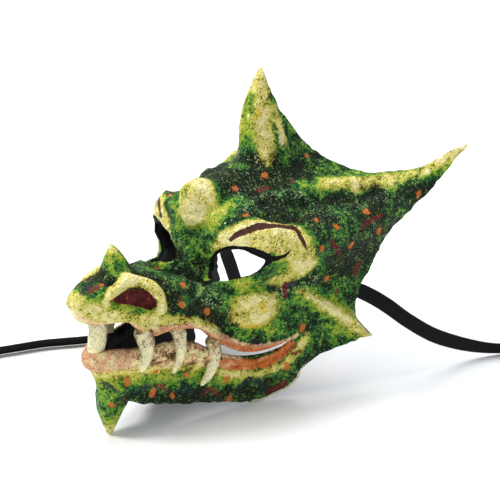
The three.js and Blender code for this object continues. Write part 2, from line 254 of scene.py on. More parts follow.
class Value:
    """A shader socket that number expressions can be written with."""

    def __init__(self, tree: "Tree", socket: bpy.types.NodeSocket) -> None:
        """Keeps the node tree and the socket."""
        self.tree = tree
        self.socket = socket

    def _math(self, operation: str, *values: object, clamp: bool = False) -> "Value":
        """One Math node on these values."""
        settings = {"operation": operation, "use_clamp": clamp}
        return self.tree.node("ShaderNodeMath", settings, dict(enumerate(values)))

    def __add__(self, other: object) -> "Value":
        """self + other."""
        return self._math("ADD", self, other)

    def __sub__(self, other: object) -> "Value":
        """self - other."""
        return self._math("SUBTRACT", self, other)

    def __rsub__(self, other: object) -> "Value":
        """other - self."""
        return self._math("SUBTRACT", other, self)

    def __mul__(self, other: object) -> "Value":
        """self * other."""
        return self._math("MULTIPLY", self, other)

    __radd__ = __add__
    __rmul__ = __mul__

    def clamped(self) -> "Value":
        """The value held between 0 and 1."""
        return self._math("ADD", self, 0.0, clamp=True)

    def most(self, other: object) -> "Value":
        """The larger of the two."""
        return self._math("MAXIMUM", self, other)

    def step(self, low: float, high: float) -> "Value":
        """0 below low and 1 above high, smooth in between; low may be the larger one."""
        if low > high:
            return 1.0 - self.step(high, low)
        settings = {"interpolation_type": "SMOOTHSTEP"}
        return self.tree.node("ShaderNodeMapRange", settings, {0: self, 1: low, 2: high})

    def inside(self, edge: float, soft: float = 0.35) -> "Value":
        """1 where a distance is below edge, fading over soft on each side."""
        return self.step(edge + soft, edge - soft)


class Tree:
    """A material's nodes, made by one method each time."""

    def __init__(self, name: str) -> None:
        """Starts an empty material with an output."""
        self.material = bpy.data.materials.new(name)
        self.material.use_nodes = True
        self.nodes = self.material.node_tree.nodes
        self.links = self.material.node_tree.links
        self.nodes.clear()

    def node(self, kind: str, settings: dict, inputs: dict, output: object = 0) -> Value:
        """Adds one node.

        Args:
            kind: the node's type.
            settings: properties that are set first, such as a Math node's operation.
            inputs: values or links of its sockets, by name or place.
            output: the socket that is handed back, by name or place.

        Returns:
            That output socket.
        """
        made = self.nodes.new(kind)
        for name, value in settings.items():
            setattr(made, name, value)
        for key, value in inputs.items():
            socket = made.inputs[key]
            if isinstance(value, Value):
                self.links.new(value.socket, socket)
            else:
                socket.default_value = value
        return Value(self, made.outputs[output])

    def stored(self, name: str) -> Value:
        """A number kept on the mesh."""
        return self.node("ShaderNodeAttribute", {"attribute_name": name}, {}, "Fac")

    def noise(self, size_mm: float, detail: float = 2.0, shift: float = 0.0, rough: float = 0.6) -> Value:
        """Noise whose largest features are about that size, around 0.5."""
        place = self.node("ShaderNodeTexCoord", {}, {}, "Object")
        by = (shift, shift, 0.0)
        moved = self.node("ShaderNodeVectorMath", {"operation": "ADD"}, {0: place, 1: by})
        inputs = {"Vector": moved, "Scale": 1000.0 / size_mm, "Detail": detail, "Roughness": rough}
        return self.node("ShaderNodeTexNoise", {}, inputs, "Fac")

    def mix(self, share: object, first: object, second: object) -> Value:
        """first where share is 0 and second where it is 1; each a Tint or a colour link."""
        first, second = ((*c.value, 1.0) if isinstance(c, Tint) else c for c in (first, second))
        return self.node("ShaderNodeMix", {"data_type": "RGBA"}, {0: share, 6: first, 7: second}, 2)

    def graded(self, value: Value, *stops: tuple) -> Value:
        """A colour that goes from tint to tint as the value passes each stop (at, tint)."""
        colour = stops[0][1]
        for (low, _), (high, tint) in zip(stops, stops[1:]):
            colour = self.mix(value.step(low, high), colour, tint)
        return colour

    def bump(self, height: Value, depth_mm: float, strength: float = 1.0) -> Value:
        """A normal that follows a height from 0 to 1, that many millimetres deep."""
        inputs = {"Strength": strength, "Distance": depth_mm * 0.001, "Height": height}
        return self.node("ShaderNodeBump", {}, inputs)

    def surface(self, **inputs: object) -> bpy.types.Material:
        """Ends the material with one Principled shader; a name's _ stands for a space."""
        named = {name.replace("_", " "): value for name, value in inputs.items()}
        shader = self.node("ShaderNodeBsdfPrincipled", {}, named)
        out = self.nodes.new("ShaderNodeOutputMaterial")
        self.links.new(shader.socket, out.inputs["Surface"])
        return self.material


class Form:
    """Puts computed points and faces into a mesh that rides on the mask."""

    def __init__(self, name: str, points: np.ndarray, faces: list, slot: Slot) -> None:
        """Makes the object from points in millimetres and arrays of faces."""
        mesh = bpy.data.meshes.new(name)
        rows = [list(map(int, row)) for array in faces for row in array]
        mesh.from_pydata(to_frame(points), [], rows)
        mesh.polygons.foreach_set("use_smooth", np.ones(len(mesh.polygons), bool))
        self.points = points
        self.piece = linked(name, mesh)
        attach(self.piece, "root")

    def keep(self, name: str, values: np.ndarray) -> None:
        """Stores one number a point, for the finish to read."""
        kept = self.piece.data.attributes.new(name, "FLOAT", "POINT")
        kept.data.foreach_set("value", np.asarray(values, np.float32).ravel())

    def kept(self, name: str) -> np.ndarray:
        """The numbers stored under a name."""
        values = np.zeros(len(self.piece.data.vertices), np.float32)
        self.piece.data.attributes[name].data.foreach_get("value", values)
        return values

    def corners(self) -> np.ndarray:
        """The point at each corner of each face."""
        found = np.zeros(len(self.piece.data.loops), np.int32)
        self.piece.data.loops.foreach_get("vertex_index", found)
        return found

    def finish(self, material: bpy.types.Material, lining: bpy.types.Material | None = None) -> None:
        """Gives the piece its material, and another on faces whose corners are all lining."""
        mesh = self.piece.data
        mesh.materials.append(material)
        if lining is not None:
            mesh.materials.append(lining)
            starts = np.zeros(len(mesh.polygons), np.int32)
            mesh.polygons.foreach_get("loop_start", starts)
            least = np.minimum.reduceat(self.kept("lining")[self.corners()], starts)
            mesh.polygons.foreach_set("material_index", (least > 0.5).astype(np.int32))
        log.info("%s: %d faces", self.piece.name, len(mesh.polygons))


@dataclass
class Sheet:
    """The moulded sheet, as the CAD source has it.

    Ribs run from the jaw up to the crest. Each is [y, z] on the middle line, the breadth of the blunt
    middle, a guiding point at the cheek and the edge.
    """

    ribs: tuple = stations_of("""
        0 30 18 22 48 13 45 112 0, -8 42 18 22 54 32 57 130 14, -17 64 20 24 60 48 70 154 34,
          -15 84 20 24 64 60 84 190 42, -20 99 20 26 68 72 82 188 52, -29 112 22 30 72 86 80 186 64,
          -14 123 22 36 82 98 80 187 76, 24 121 20 50 112 102 81 192 88, 60 119 26 66 106 110 83 202 102,
          82 132 44 78 98 122 85 208 116, 87 150 46 80 98 132 90 222 132, 94 160 38 68 124 136 99 240 148,
          112 170 30 54 170 134 107 254 166, 146 183 26 54 204 134 114 265 182,
          184 198 26 56 220 130 118 271 193
    """)[0]
    # swells [x, y, z, half width, height]: horn ridge, forehead lump, bridge of the nose, the eye's inner
    # and outer corners, and the brow's end
    swells: tuple = stations_of("""
        40 100 157 13 0, 39 126 161 12 2, 46 156 166 12 11, 62 190 169 13 20, 78 221 175 12 15,
          99 250 184 8 7, 118 271 193 4 0;
        0 87 149 11 8, 0 92 158 12 19, 2 100 164 13 13, 5 112 169 11 4;
        0 36 122 12 0, 0 56 119 14 -4, 0 70 125 16 -10, 0 81 133 14 -4;
        12 64 117 10 -11, 18 74 114 14 -25, 28 83 118 11 -13;
        49 103 110 13 5, 55 104 120 13 7, 60 110 130 12 4;
        38 98 152 9 3, 47 104 150 9 7, 56 113 148 9 4
    """)
    # crest spike: where it stands and ends, its bow, its reach across and down, and its profile's powers
    spike_foot: tuple = (0.0, 184.0, 198.0)
    spike_tip: tuple = (0.0, 160.5, 250.0)
    spike_lean: tuple = (0.0, -6.5, 0.0)
    spike_reach: tuple = (27.5, 48.0)
    spike_round: float = 1.4
    spike_power: float = 1.7
    spike_square: float = 3.0

    def plain(self, across: np.ndarray, up: np.ndarray) -> np.ndarray:
        """The plain sheet: a cubic from the middle line to either edge, smooth up the ribs."""
        r = np.asarray(self.ribs, float)
        zero = np.zeros(len(r))
        middle, blunt = (np.stack([x, r[:, 0], r[:, 1]], 1) for x in (zero, r[:, 2]))
        a, b, c, d = (through(column, up) for column in (middle, blunt, r[:, 3:6], r[:, 6:9]))
        u = np.abs(across)[..., None]
        w = 1 - u
        point = w**3 * a + 3 * w * w * u * b + 3 * w * u * u * c + u**3 * d
        point[..., 0] *= np.where(across < 0, -1.0, 1.0)
        return point

    def facing(self, across: np.ndarray, up: np.ndarray, step: float = 0.004) -> np.ndarray:
        """The plain sheet's outward direction, from small steps across and up it."""
        du = self.plain(np.minimum(across + step, 1), up) - self.plain(np.maximum(across - step, -1), up)
        dv = self.plain(across, np.minimum(up + step, 1)) - self.plain(across, np.maximum(up - step, 0))
        return unit(np.cross(du, dv))

    def swell(self, half: np.ndarray, line: tuple) -> np.ndarray:
        """A swell along a line: its height, times (1 - (off / 1.5)^2)^2 with off in half widths."""
        off, carried = along_line(half, line, by_width=True)
        return carried[..., 1] * np.maximum(0.0, 1 - (off / 1.5) ** 2) ** 2

    def face(self, across: np.ndarray, up: np.ndarray) -> np.ndarray:
        """The sheet with its swells, and the crest drawn out into its spike."""
        point = self.plain(across, up)
        half = mirrored(point)
        height = sum(self.swell(half, line) for line in self.swells)
        foot = np.array(self.spike_foot)
        down = np.hypot(point[..., 1] - foot[1], point[..., 2] - foot[2])
        parts = (np.abs(point[..., 0]) / self.spike_reach[0], down / self.spike_reach[1])
        off = sum(part**self.spike_square for part in parts) ** (1 / self.spike_square)
        share = np.maximum(0.0, 1 - off**self.spike_round) ** self.spike_power
        rise = np.array(self.spike_tip) - foot
        drawn = rise * share[..., None] + np.array(self.spike_lean) * (4 * share * (1 - share))[..., None]
        return point + self.facing(across, up) * height[..., None] + drawn

    def wall(self, point: np.ndarray) -> np.ndarray:
        """Thickness of the paper: thinner over the last 40 mm before the tips."""
        tips = (np.array(self.ribs[-1][6:9], float), np.array(self.spike_tip))
        half = mirrored(point)
        near = np.minimum(*(np.linalg.norm(half - tip, axis=-1) for tip in tips))
        return TIP_WALL + (WALL - TIP_WALL) * smooth(0, 40, near)


@dataclass
class Openings:
    """The eye holes and the mouth, as closed outlines that the sheet's grid is fitted to."""

    eye_turn: float = math.radians(30)
    eye_depths: tuple = (-95.0, -25.0)
    eye: tuple = stations_of("""
        61.2 108.8, 61.6 114.5, 64 121.1, 68.8 126.3, 76.9 130.2, 86 130.7, 91.9 129.4, 98.4 127.4,
          103.4 124.6, 101.3 119.6, 97.2 114.5, 91.2 110.9, 85.3 109, 76.8 108.3, 69.4 108.8
    """)[0]
    mouth: tuple = stations_of("""
        -40 95.5, -10 94.8, 5 94, 13 86.5, 20 79.5, 27 77.5, 36 79, 51 78, 61 74.5, 71 64, 83 55, 95 48.6,
          110 46.8, 124 48.6, 132 51, 124 46.6, 110 44.2, 95 45.2, 80 50.5, 67 58.5, 54 67, 36 70,
          22 69.5, 6 71.5, -11 72.5, -40 72.5
    """)[0]

    def eye_off(self, point: np.ndarray) -> np.ndarray:
        """Distance outside the nearer eye's outline, seen along the way that the eye faces."""
        half = mirrored(point)
        c, s = math.cos(self.eye_turn), math.sin(self.eye_turn)
        seen = np.stack([half[..., 0] * c + half[..., 1] * s, half[..., 2]], -1)
        depth = half[..., 0] * s - half[..., 1] * c
        here = (depth > self.eye_depths[0]) & (depth < self.eye_depths[1])
        off = outside_by(seen.reshape(-1, 2), closed_curve(self.eye)).reshape(here.shape)
        return np.where(here, off, FAR)

    def mouth_off(self, point: np.ndarray) -> np.ndarray:
        """Distance outside the mouth's outline, seen from the side."""
        seen = point[..., 1:].reshape(-1, 2)
        return outside_by(seen, closed_curve(self.mouth, 5)).reshape(point.shape[:-1])

    def off(self, point: np.ndarray) -> np.ndarray:
        """Distance outside the nearest opening."""
        return np.minimum(self.eye_off(point), self.mouth_off(point))


@dataclass
class Rope:
    """A closed round form through [x, y, z, radius] stations, rounded off at both ends."""

    stations: tuple
    sides: int = 28
    steps: int = 60
    rough: float = 0.25
    seed: int = 1

    def build(self) -> tuple[np.ndarray, list]:
        """The form's points and faces.

        A circle is carried along the smooth line of stations. Its radius is the stations' own, times
        the square root of 1 less the squared share of the way into the rounded end.
        """
        t = np.linspace(0, 1, self.steps + 1)
        t = 0.5 - 0.5 * np.cos(np.pi * t)
        line = through(self.stations, t)
        centre, radius = line[:, :3], line[:, 3]
        walk = walked(centre)
        for gone in (walk, walk[-1] - walk):
            radius = radius * np.sqrt(np.clip(1 - (1 - np.minimum(gone / line[:, 3], 1)) ** 2, 0, 1))
        ahead = unit(np.gradient(centre, axis=0))
        side = unit(np.cross(np.array([1.0, 0.35, 0.2]), ahead))
        other = np.cross(ahead, side)
        turn = np.linspace(0, 2 * np.pi, self.sides, endpoint=False)
        spoke = side[:, None] * np.cos(turn)[:, None] + other[:, None] * np.sin(turn)[:, None]
        ring = centre[:, None] + spoke * radius[:, None, None]
        uneven = grain(ring, 7.0, self.seed) * 2 + grain(ring, 2.6, self.seed + 1)
        share = np.minimum(radius / 3.0, 1.0)[:, None]
        ring = ring + spoke * (uneven * self.rough * share)[..., None]
        body = ring[1:-1].reshape(-1, 3)
        points = np.concatenate([body, [centre[0]], [centre[-1]]])
        here = np.arange(self.sides)
        beside = (here + 1) % self.sides
        last = (self.steps - 2) * self.sides
        first_fan = np.stack([beside, here, np.full_like(here, len(body))], -1)
        last_fan = np.stack([last + here, last + beside, np.full_like(here, len(body) + 1)], -1)
        return points, [tube_faces(self.steps - 1, self.sides), first_fan, last_fan]

    def off(self, point: np.ndarray) -> np.ndarray:
        """Distance outside the form, from points in millimetres."""
        line = through(self.stations, np.linspace(0, 1, 13))
        away, radius = along_line(point, line)
        return away - radius[..., 0]


# Front fang, then the first to the third on each side, and the chin spike: [x, y, z, radius]
FANGS = stations_of("""
    1 -6 105 10, 1 -6.5 97 7.8, 0.8 -6 89 6.9, 0.6 -7.5 77 6.4, 0.4 -10.5 67 4.8, 0.2 -13 58 1.6;
    20 17 88 8, 21.5 18.5 80 6.6, 22.8 19 73 6, 23 18 64 4.8, 21.5 14 53 1.5;
    27 43 84 6.5, 29 45 74 5, 30.2 44.5 66 4.4, 30.4 43 57 3.5, 28 38.5 45.5 1.3;
    36 70 68 6.5, 38 70.5 58 5.2, 38.5 69.5 48 4.6, 37 66 38 3.6, 34 60.5 29.5 1.4
""")
CHIN_SPIKE = stations_of("0 9 44 12, 0 4 30 12.2, 0 1.2 18 9, 0 0.2 8 5, 0 0 0.2 1.8")[0]


@dataclass
class Face:
    """The painted sheet with its relief: lips, lids, nostrils, knobs, spikes and creases."""

    sheet: Sheet
    openings: Openings
    # the grid: columns on each half, how they crowd to the edge, and rows in each span between ribs
    half_columns: int = 150
    crowding: float = 0.86
    edge_columns: tuple = (0.9915, 0.9958, 0.9985, 1.0)
    rows: tuple = (8, 15, 24, 22, 18, 16, 20, 17, 20, 18, 12, 12, 15, 18)
    edge_rows: tuple = (0.0, 0.0012, 0.0035)
    inner_share: float = 0.16

    # small horn on the snout: its foot and its way, then pairs of distance from the axis and height
    nose_axis: tuple = ((0.0, 14.0, 112.0), (0.0, -4.0, 34.0))
    nose_profile: tuple = stations_of("0 35.6, 1.6 33.5, 5 28.5, 8.5 21, 13 11, 17 3, 21 -3, 30 -30")[0]
    # modelled forms [x, y, z, half width, height]
    ridges: tuple = (
        # forehead lump's crease, the arch over the brow, and the spike's two front ridges
        *stations_of("""
            17 92 148 3 -0.8, 18 100 160 3 -1.8, 14 113 168 3 -1.2;
            33 106 157 5 0.5, 32 118 159 4.5 2.8, 35 131 161 4.5 3.6, 43 144 162 4.5 3.4,
              51 155 158 4.5 2.4, 57 160 150 4.5 0.8;
            26 163 174 5 0.4, 22 166 183 4.5 2.6, 18 165 195 4.5 2.6, 15 164 206 4 2.2,
              12 162 218 3.5 1.6, 8 161 232 3 0.5;
            5 142 183 4 0.3, 6 145 198 4 1.4, 6 147 214 3.5 1.2, 5 150 230 3 0.4
        """),
        # under the brow arch, the lid's pillow above and below the eye, and the brow line's own groove
        *stations_of("""
            40 102 152 5 -1.2, 50 114 153 6 -2.6, 58 130 151 6 -2.6, 63 144 147 5 -1;
            27 87 129 7 0.4, 40 92 137 9 2.6, 52 101 138 10 3.2, 62 115 136 10 2.8, 68 130 122 9 2,
              62 134 108 8 1.2, 54 118 101 6 1;
            22 78 106 4 0.5, 33 82 105 4 2, 45 94 105 4 2.4, 56 102 110 4 1.6;
            38 91 139 2.2 -0.5, 47 95 145 2.4 -0.9, 54 103 149 2.4 -0.9, 60 119 147 2.4 -0.9,
              66 129 143 2.4 -0.9, 73 132 130 2.2 -0.5
        """),
        # nostril: its flared rim, the swelling under it, and the groove behind
        *stations_of("""
            15 -9 112 3 1.6, 14.6 -2 118 3.4 3.6, 14.8 8 120.5 3.8 5.2, 17 18 120 4 6,
              22.5 25 115.5 4.2 6, 27 29 108 4.2 5.6, 28 30 100 4 4, 26 26 95 4 2.4;
            17 -8 107 3 0.8, 20 4 103 3.4 2, 24 18 99 3.6 2.6;
            8 20 121 3.6 -2.2, 8 32 119.5 4 -3.2, 15 38 118 4 -3.6, 24 37.5 115 4 -3.4,
              29.5 36 108 4 -2.6, 30.5 36 99 4 -1.4
        """),
        # upper lip's fleshy band, and the fold from the mouth's corner up the cheek
        *stations_of("""
            8 -20 104 6 1.5, 19 0 99 5 1.6, 24 24 88 5 1.6, 33 58 82 5 1.6, 42 82 63 5 1.8,
              52 110 54 5 1.4;
            30 40 93 6 -1.2, 38 66 82 7 -2.2, 44 84 69 7 -1.8
        """),
        # ridge that runs back into the cheek spike
        *stations_of("""
            54 128 92 5 0.4, 60 143 84 5 3, 67 157 75 6 6, 76 173 64 6.5 8.5, 82 186 54 6 9
        """),
        # lower lip's flesh over the jaw, and the hollow under it
        *stations_of("""
            4 -17 60 7 1, 18 9 60 7 1.6, 31 52 55 7 1.8, 41 79 40 6 1.2;
            6 -12 49 7 -1, 20 20 46 8 -1.6, 32 58 36 8 -1.2
        """),
    )
    # round boss on the cheek, then the nostril's hollow as [x, y, z, radius]
    knob: tuple = (48.8, 102.0, 83.0)
    knob_radius: float = 20.0
    knob_height: float = 7.5
    hollow: tuple = stations_of("""
        16.3 -7 112 0.8, 18.3 0 112 3.4, 20.5 8 112.5 5.8, 23.5 17 109.5 6.6, 25.3 22 105 5
    """)[0]
    hollow_depth: float = 2.1
    # places moved, as (from), (by), reach: cheek spike's tip, jaw's hind corner, lower lip's front
    pulls: tuple = (
        ((84, 190, 50), (5, 8.5, -7), 10),
        ((57, 130, 14), (0.5, 5.6, -4.2), 28),
        ((0, -19, 66), (0, 2.4, 0), 22),
    )
    # the mouth's middle line as y and z, then the lips' radius and middle at places from front to back
    mouth_line: tuple = ((-40, 6, 35, 60, 83, 95, 110, 132), (84, 83, 73, 70, 54, 47, 45.5, 50))
    lip_places: tuple = (-20, 6, 22, 35, 54, 67, 80, 95, 110, 132)
    upper_lip: tuple = (
        (3.4, 3.4, 3.4, 3.4, 3.4, 3.4, 3.2, 3.0, 2.4, 2.0),
        (-0.8, -0.8, -0.8, -0.8, -0.8, -0.8, -0.6, -0.5, -0.3, -0.6),
    )
    lower_lip: tuple = (
        (7.0, 6.6, 5.6, 5.4, 5.0, 4.4, 4.0, 3.6, 2.8, 2.0),
        (-4.0, -3.6, -2.2, -2.0, -1.8, -1.4, -1.0, -0.8, -0.4, -0.6),
    )
    # black line over the eye: where it starts as x and z, and its breadth by x
    lid: tuple = ((18, 24, 34, 50, 60), (110, 116, 121, 123, 121))
    lid_breadth: tuple = ((30, 45, 55, 62), (2.6, 3.2, 4.8, 5.2))
    ragged: float = 0.85

    def grid(self) -> tuple[np.ndarray, np.ndarray]:
        """Places across and up the sheet, closer together at the face's edges and in the mouth."""
        side = np.linspace(0, 1, self.half_columns + 1)[1:-1] ** self.crowding
        side = np.concatenate([side[side < self.edge_columns[0] - 0.004], self.edge_columns])
        across = np.concatenate([-side[::-1], [0.0], side])
        ribs = len(self.rows)
        up = np.concatenate([(k + np.arange(n) / n) / ribs for k, n in enumerate(self.rows)])
        low, high = np.array(self.edge_rows), 1 - np.array(self.edge_rows[::-1])
        up = np.concatenate([low, up[(up > low[-1] + 0.002) & (up < high[0] - 0.002)], high])
        return np.meshgrid(across, up)

    def fitted(self, across: np.ndarray, up: np.ndarray) -> tuple[np.ndarray, np.ndarray, np.ndarray]:
        """Drops the cells in the openings and moves the grid's places there onto the outlines.

        Each place on a dropped cell's border goes down the distance's slope until the distance is
        nothing, and the places around it are then evened out.

        Returns:
            Places across and up, and which cells are kept.
        """
        sheet, off = self.sheet, self.openings.off
        s = off(sheet.face(across, up))
        middle = (s[1:, 1:] + s[:-1, 1:] + s[1:, :-1] + s[:-1, :-1]) / 4
        kept = middle > 0
        touches = np.zeros(s.shape + (2,), bool)
        for dj in (0, 1):
            for di in (0, 1):
                part = touches[dj : dj + kept.shape[0], di : di + kept.shape[1]]
                part[..., 0] |= kept
                part[..., 1] |= ~kept
        border = touches.all(-1)
        u, v = across.copy(), up.copy()
        step = 2e-4
        for _ in range(4):
            bu, bv = u[border], v[border]
            here = off(sheet.face(bu, bv))
            du = (off(sheet.face(bu + step, bv)) - here) / step
            dv = (off(sheet.face(bu, bv + step)) - here) / step
            pull = here / np.maximum(du * du + dv * dv, 1e-6)
            u[border] = bu - np.clip(pull * du, -0.012, 0.012)
            v[border] = bv - np.clip(pull * dv, -0.006, 0.006)
        near = border.copy()
        for _ in range(3):
            near[1:] |= near[:-1].copy()
            near[:-1] |= near[1:].copy()
            near[:, 1:] |= near[:, :-1].copy()
            near[:, :-1] |= near[:, 1:].copy()
        loose = near & ~border
        loose[[0, -1]] = False
        loose[:, [0, -1]] = False
        for _ in range(8):
            for place in (u, v):
                turned = (np.roll(place, way, axis) for axis in (0, 1) for way in (1, -1))
                around = sum(turned) / 4
                place[loose] += 0.5 * (around[loose] - place[loose])
        return u, v, kept

    def to_edge(self, point: np.ndarray) -> np.ndarray:
        """Distance along the grid's lines to the nearest edge of the sheet."""
        found = np.full(point.shape[:-1], FAR)
        for axis in (0, 1):
            walk = np.linalg.norm(np.diff(point, axis=axis), axis=-1)
            walk = np.concatenate([np.zeros_like(walk.take([0], axis)), np.cumsum(walk, axis=axis)], axis)
            found = np.minimum(found, np.minimum(walk, walk.take([-1], axis) - walk))
        return found

    def rim(self, point: np.ndarray, wall: np.ndarray, s: np.ndarray) -> tuple[np.ndarray, np.ndarray]:
        """Heights of the outer and inner faces near an edge.

        Both faces end on a circle of the rim's radius whose middle lies one radius in from the edge, and
        then ease back to the plain wall. The lips are such circles too, fatter ones.

        Returns:
            Heights of the outer and the inner face over the sheet.
        """
        radius, middle = wall / 2, -wall / 2
        y, z = point[..., 1], point[..., 2]
        lip = self.openings.mouth_off(point)
        line = np.interp(y, *self.mouth_line)
        by_mouth = (lip < 14) & (y < 134)  # the mouth's corner lies at y = 132
        for profile, side in ((self.upper_lip, z >= line), (self.lower_lip, z < line)):
            here = by_mouth & side
            radius = np.where(here, np.interp(y, self.lip_places, profile[0]), radius)
            middle = np.where(here, np.interp(y, self.lip_places, profile[1]), middle)
        drop = np.sqrt(np.clip(radius**2 - (radius - np.minimum(s, radius)) ** 2, 0.02, None))
        ease = smooth(0, 1, (s - radius) / (1.9 * radius))
        outer = (middle + drop) * (1 - ease)
        inner = (middle - drop) * (1 - ease) - wall * ease
        return outer, inner

    def relief(self, point: np.ndarray) -> np.ndarray:
        """Heights of the modelled forms over the sheet."""
        half = mirrored(point)
        height = sum(self.sheet.swell(half, line) for line in self.ridges)
        off = np.linalg.norm(half - self.knob, axis=-1) / self.knob_radius
        height = height + self.knob_height * np.maximum(0, 1 - off**2.6) ** 1.5
        away, width = along_line(half, self.hollow)
        height = height - self.hollow_depth * smooth(1.15, 0.7, away / width[..., 0])
        chin = Rope(CHIN_SPIKE).off(point)
        height = height + 2.2 * np.logaddexp(0, -chin / 2.2) * smooth(60, 46, point[..., 2])
        for fang in FANGS:
            root = Rope(fang[:3]).off(half)
            height = height + 1.6 * np.logaddexp(0, -root / 1.6) * smooth(9, 5, np.maximum(root, 0)) * 0.5
        return height

    def horn(self, point: np.ndarray, facing: np.ndarray) -> np.ndarray:
        """How far points rise to the small horn on the snout: up to its profile, softly."""
        foot, rise = np.array(self.nose_axis[0]), np.array(self.nose_axis[1])
        axis = unit(rise)
        t = (point - foot) @ axis
        off = np.linalg.norm(point - foot - t[..., None] * axis, axis=-1)
        goal = np.interp(off, *np.array(self.nose_profile, float).T)
        soft = 1.6
        lift = soft * np.logaddexp(0, (goal - t) / soft) * smooth(0.1, 0.5, facing @ axis)
        return axis * (lift * smooth(34, 22, off))[..., None]

    def unevenness(self, point: np.ndarray) -> np.ndarray:
        """The hand-laid paper: broad lumps and two sizes of pulp."""
        broad = 0.6 * grain(point, 13.0, 3)
        pulp = 0.42 * grain(point, 5.0, 4) + 0.3 * grain(point, 2.7, 5)
        return broad + pulp

    def surfaces(self) -> dict:
        """The sheet's outer and inner faces on the fitted grid.

        The outer face is the CAD sheet plus, along its outward direction, the modelled forms and the
        paper's unevenness; the small horn and the cheek spike's tip are drawn out of it, and both faces
        meet in a round rim at every edge.

        Returns:
            The faces, the plain sheet under them, distances to the edge, dips and the kept cells.
        """
        across, up, kept = self.fitted(*self.grid())
        base = self.sheet.face(across, up)
        facing = unit(np.cross(np.gradient(base, axis=1), np.gradient(base, axis=0)))
        wall = self.sheet.wall(base)
        s = np.minimum(self.openings.off(base), self.to_edge(base))
        outer_rim, inner_rim = self.rim(base, wall, np.maximum(s, 0))
        calm = smooth(0.0, 4.0, s)
        height = self.relief(base) * calm + self.unevenness(base) * (0.35 + 0.65 * calm)
        outer = base + facing * (height + outer_rim)[..., None]
        outer = outer + self.horn(base, facing)
        inner = base + facing * (inner_rim + 0.25 * grain(base, 9.0, 8))[..., None]
        ways = (grain(base, 4.0, seed) + grain(base, 9.0, seed + 3) for seed in (51, 52, 53))
        ragged = np.stack(list(ways), -1)
        moved = ragged * self.ragged * smooth(6.0, 0.5, self.to_edge(base))[..., None]
        for root, pull, reach in self.pulls:
            drawn = smooth(reach, 0, np.linalg.norm(mirrored(base) - root, axis=-1)) ** 1.2
            way = np.array(pull) * np.where(base[..., :1] < 0, [-1.0, 1.0, 1.0], [1.0, 1.0, 1.0])
            moved = moved + way * drawn[..., None]
        outer, inner = outer + moved, inner + moved
        for side in (outer, inner):
            side[..., 2] = np.maximum(side[..., 2], LOWEST)
        dip = self.dips(outer, facing)
        return {"outer": outer, "inner": inner, "base": base, "edge": s, "dip": dip, "kept": kept}

    def dips(self, outer: np.ndarray, facing: np.ndarray) -> np.ndarray:
        """How far each place lies below its surroundings, from repeated averages of its neighbours."""
        soft = outer.copy()
        total = np.zeros(outer.shape[:-1])
        for turn in range(14):
            for axis in (0, 1):
                ends = [soft.take([0], axis), soft, soft.take([-1], axis)]
                wide = np.concatenate(ends, axis)
                n = soft.shape[axis]
                soft = (wide.take(range(0, n), axis) + 2 * soft + wide.take(range(2, n + 2), axis)) / 4
            if turn in (3, 13):
                total += ((soft - outer) * facing).sum(-1)
        return total

    def build(self) -> Form:
        """Works out the closed sheet, thins its inner face's mesh and stores what the paint needs."""
        made = self.surfaces()
        base, s = made["base"], made["edge"]
        points, faces, used = self.closed(made["outer"], made["inner"], made["kept"])
        form = Form("dragon_face", points, faces, Slot.PAINT)
        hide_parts(Node.SHELL)
        count = s.size
        inside = np.concatenate([((s < 0.3) & (self.openings.eye_off(base) < 1)).ravel(), np.ones(count)])
        form.keep("lining", inside[used])
        form.keep("edge_mm", np.concatenate([s.ravel(), s.ravel()])[used])
        self.paint(form, np.concatenate([base.reshape(-1, 3)] * 2)[used])
        # the dips darken the paint in recesses, as painted shade
        form.keep("dip", np.concatenate([made["dip"].ravel(), np.zeros(count)])[used])
        self.thin_lining(form, used >= count)
        return form

    def closed(
        self, outer: np.ndarray, inner: np.ndarray, kept: np.ndarray
    ) -> tuple[np.ndarray, list, np.ndarray]:
        """Joins the outer and inner faces round every edge: a rim quad stands on each border line.

        Returns:
            The points, the faces, and which places of the two grids the points came from.
        """
        rows, columns = kept.shape
        j, i = np.nonzero(kept)
        width = columns + 1
        a = j * width + i
        cell = np.stack([a, a + 1, a + 1 + width, a + width], -1)
        back = (rows + 1) * width
        lines = np.stack([cell, np.roll(cell, -1, 1)], -1).reshape(-1, 2)
        key = lines.min(1) * back + lines.max(1)
        _, first, times = np.unique(key, return_index=True, return_counts=True)
        border = lines[first[times == 1]]
        rim = np.stack([border[:, 1], border[:, 0], border[:, 0] + back, border[:, 1] + back], -1)
        faces = np.concatenate([cell, cell[:, ::-1] + back, rim])
        used, flat = np.unique(faces, return_inverse=True)
        points = np.concatenate([outer.reshape(-1, 3), inner.reshape(-1, 3)])[used]
        return points, [flat.reshape(faces.shape)], used

    def thin_lining(self, form: Form, inside: np.ndarray) -> None:
        """Leaves fewer faces on the inner side, away from its edges."""
        inner = np.nonzero(inside & (form.kept("edge_mm") > 3.0))[0]
        group = form.piece.vertex_groups.new(name="lining")
        group.add(inner.tolist(), 1.0, "REPLACE")
        share = len(inner) / len(inside)
        thin = form.piece.modifiers.new("thin lining", "DECIMATE")
        thin.vertex_group = group.name
        thin.ratio = 1 - share * (1 - self.inner_share)

    def paint(self, form: Form, base: np.ndarray) -> None:
        """Stores the fields that the finish reads: soft zones of colour, and distances to its marks."""
        half = mirrored(base)
        for zone, patches in ZONES.items():
            share = np.zeros(len(base))
            for line in patches:
                away, width = along_line(half, line)
                share = np.maximum(share, np.clip(0.5 + (width[:, 0] - away) / (2 * width[:, 1]), 0, 1))
            form.keep(zone, share)
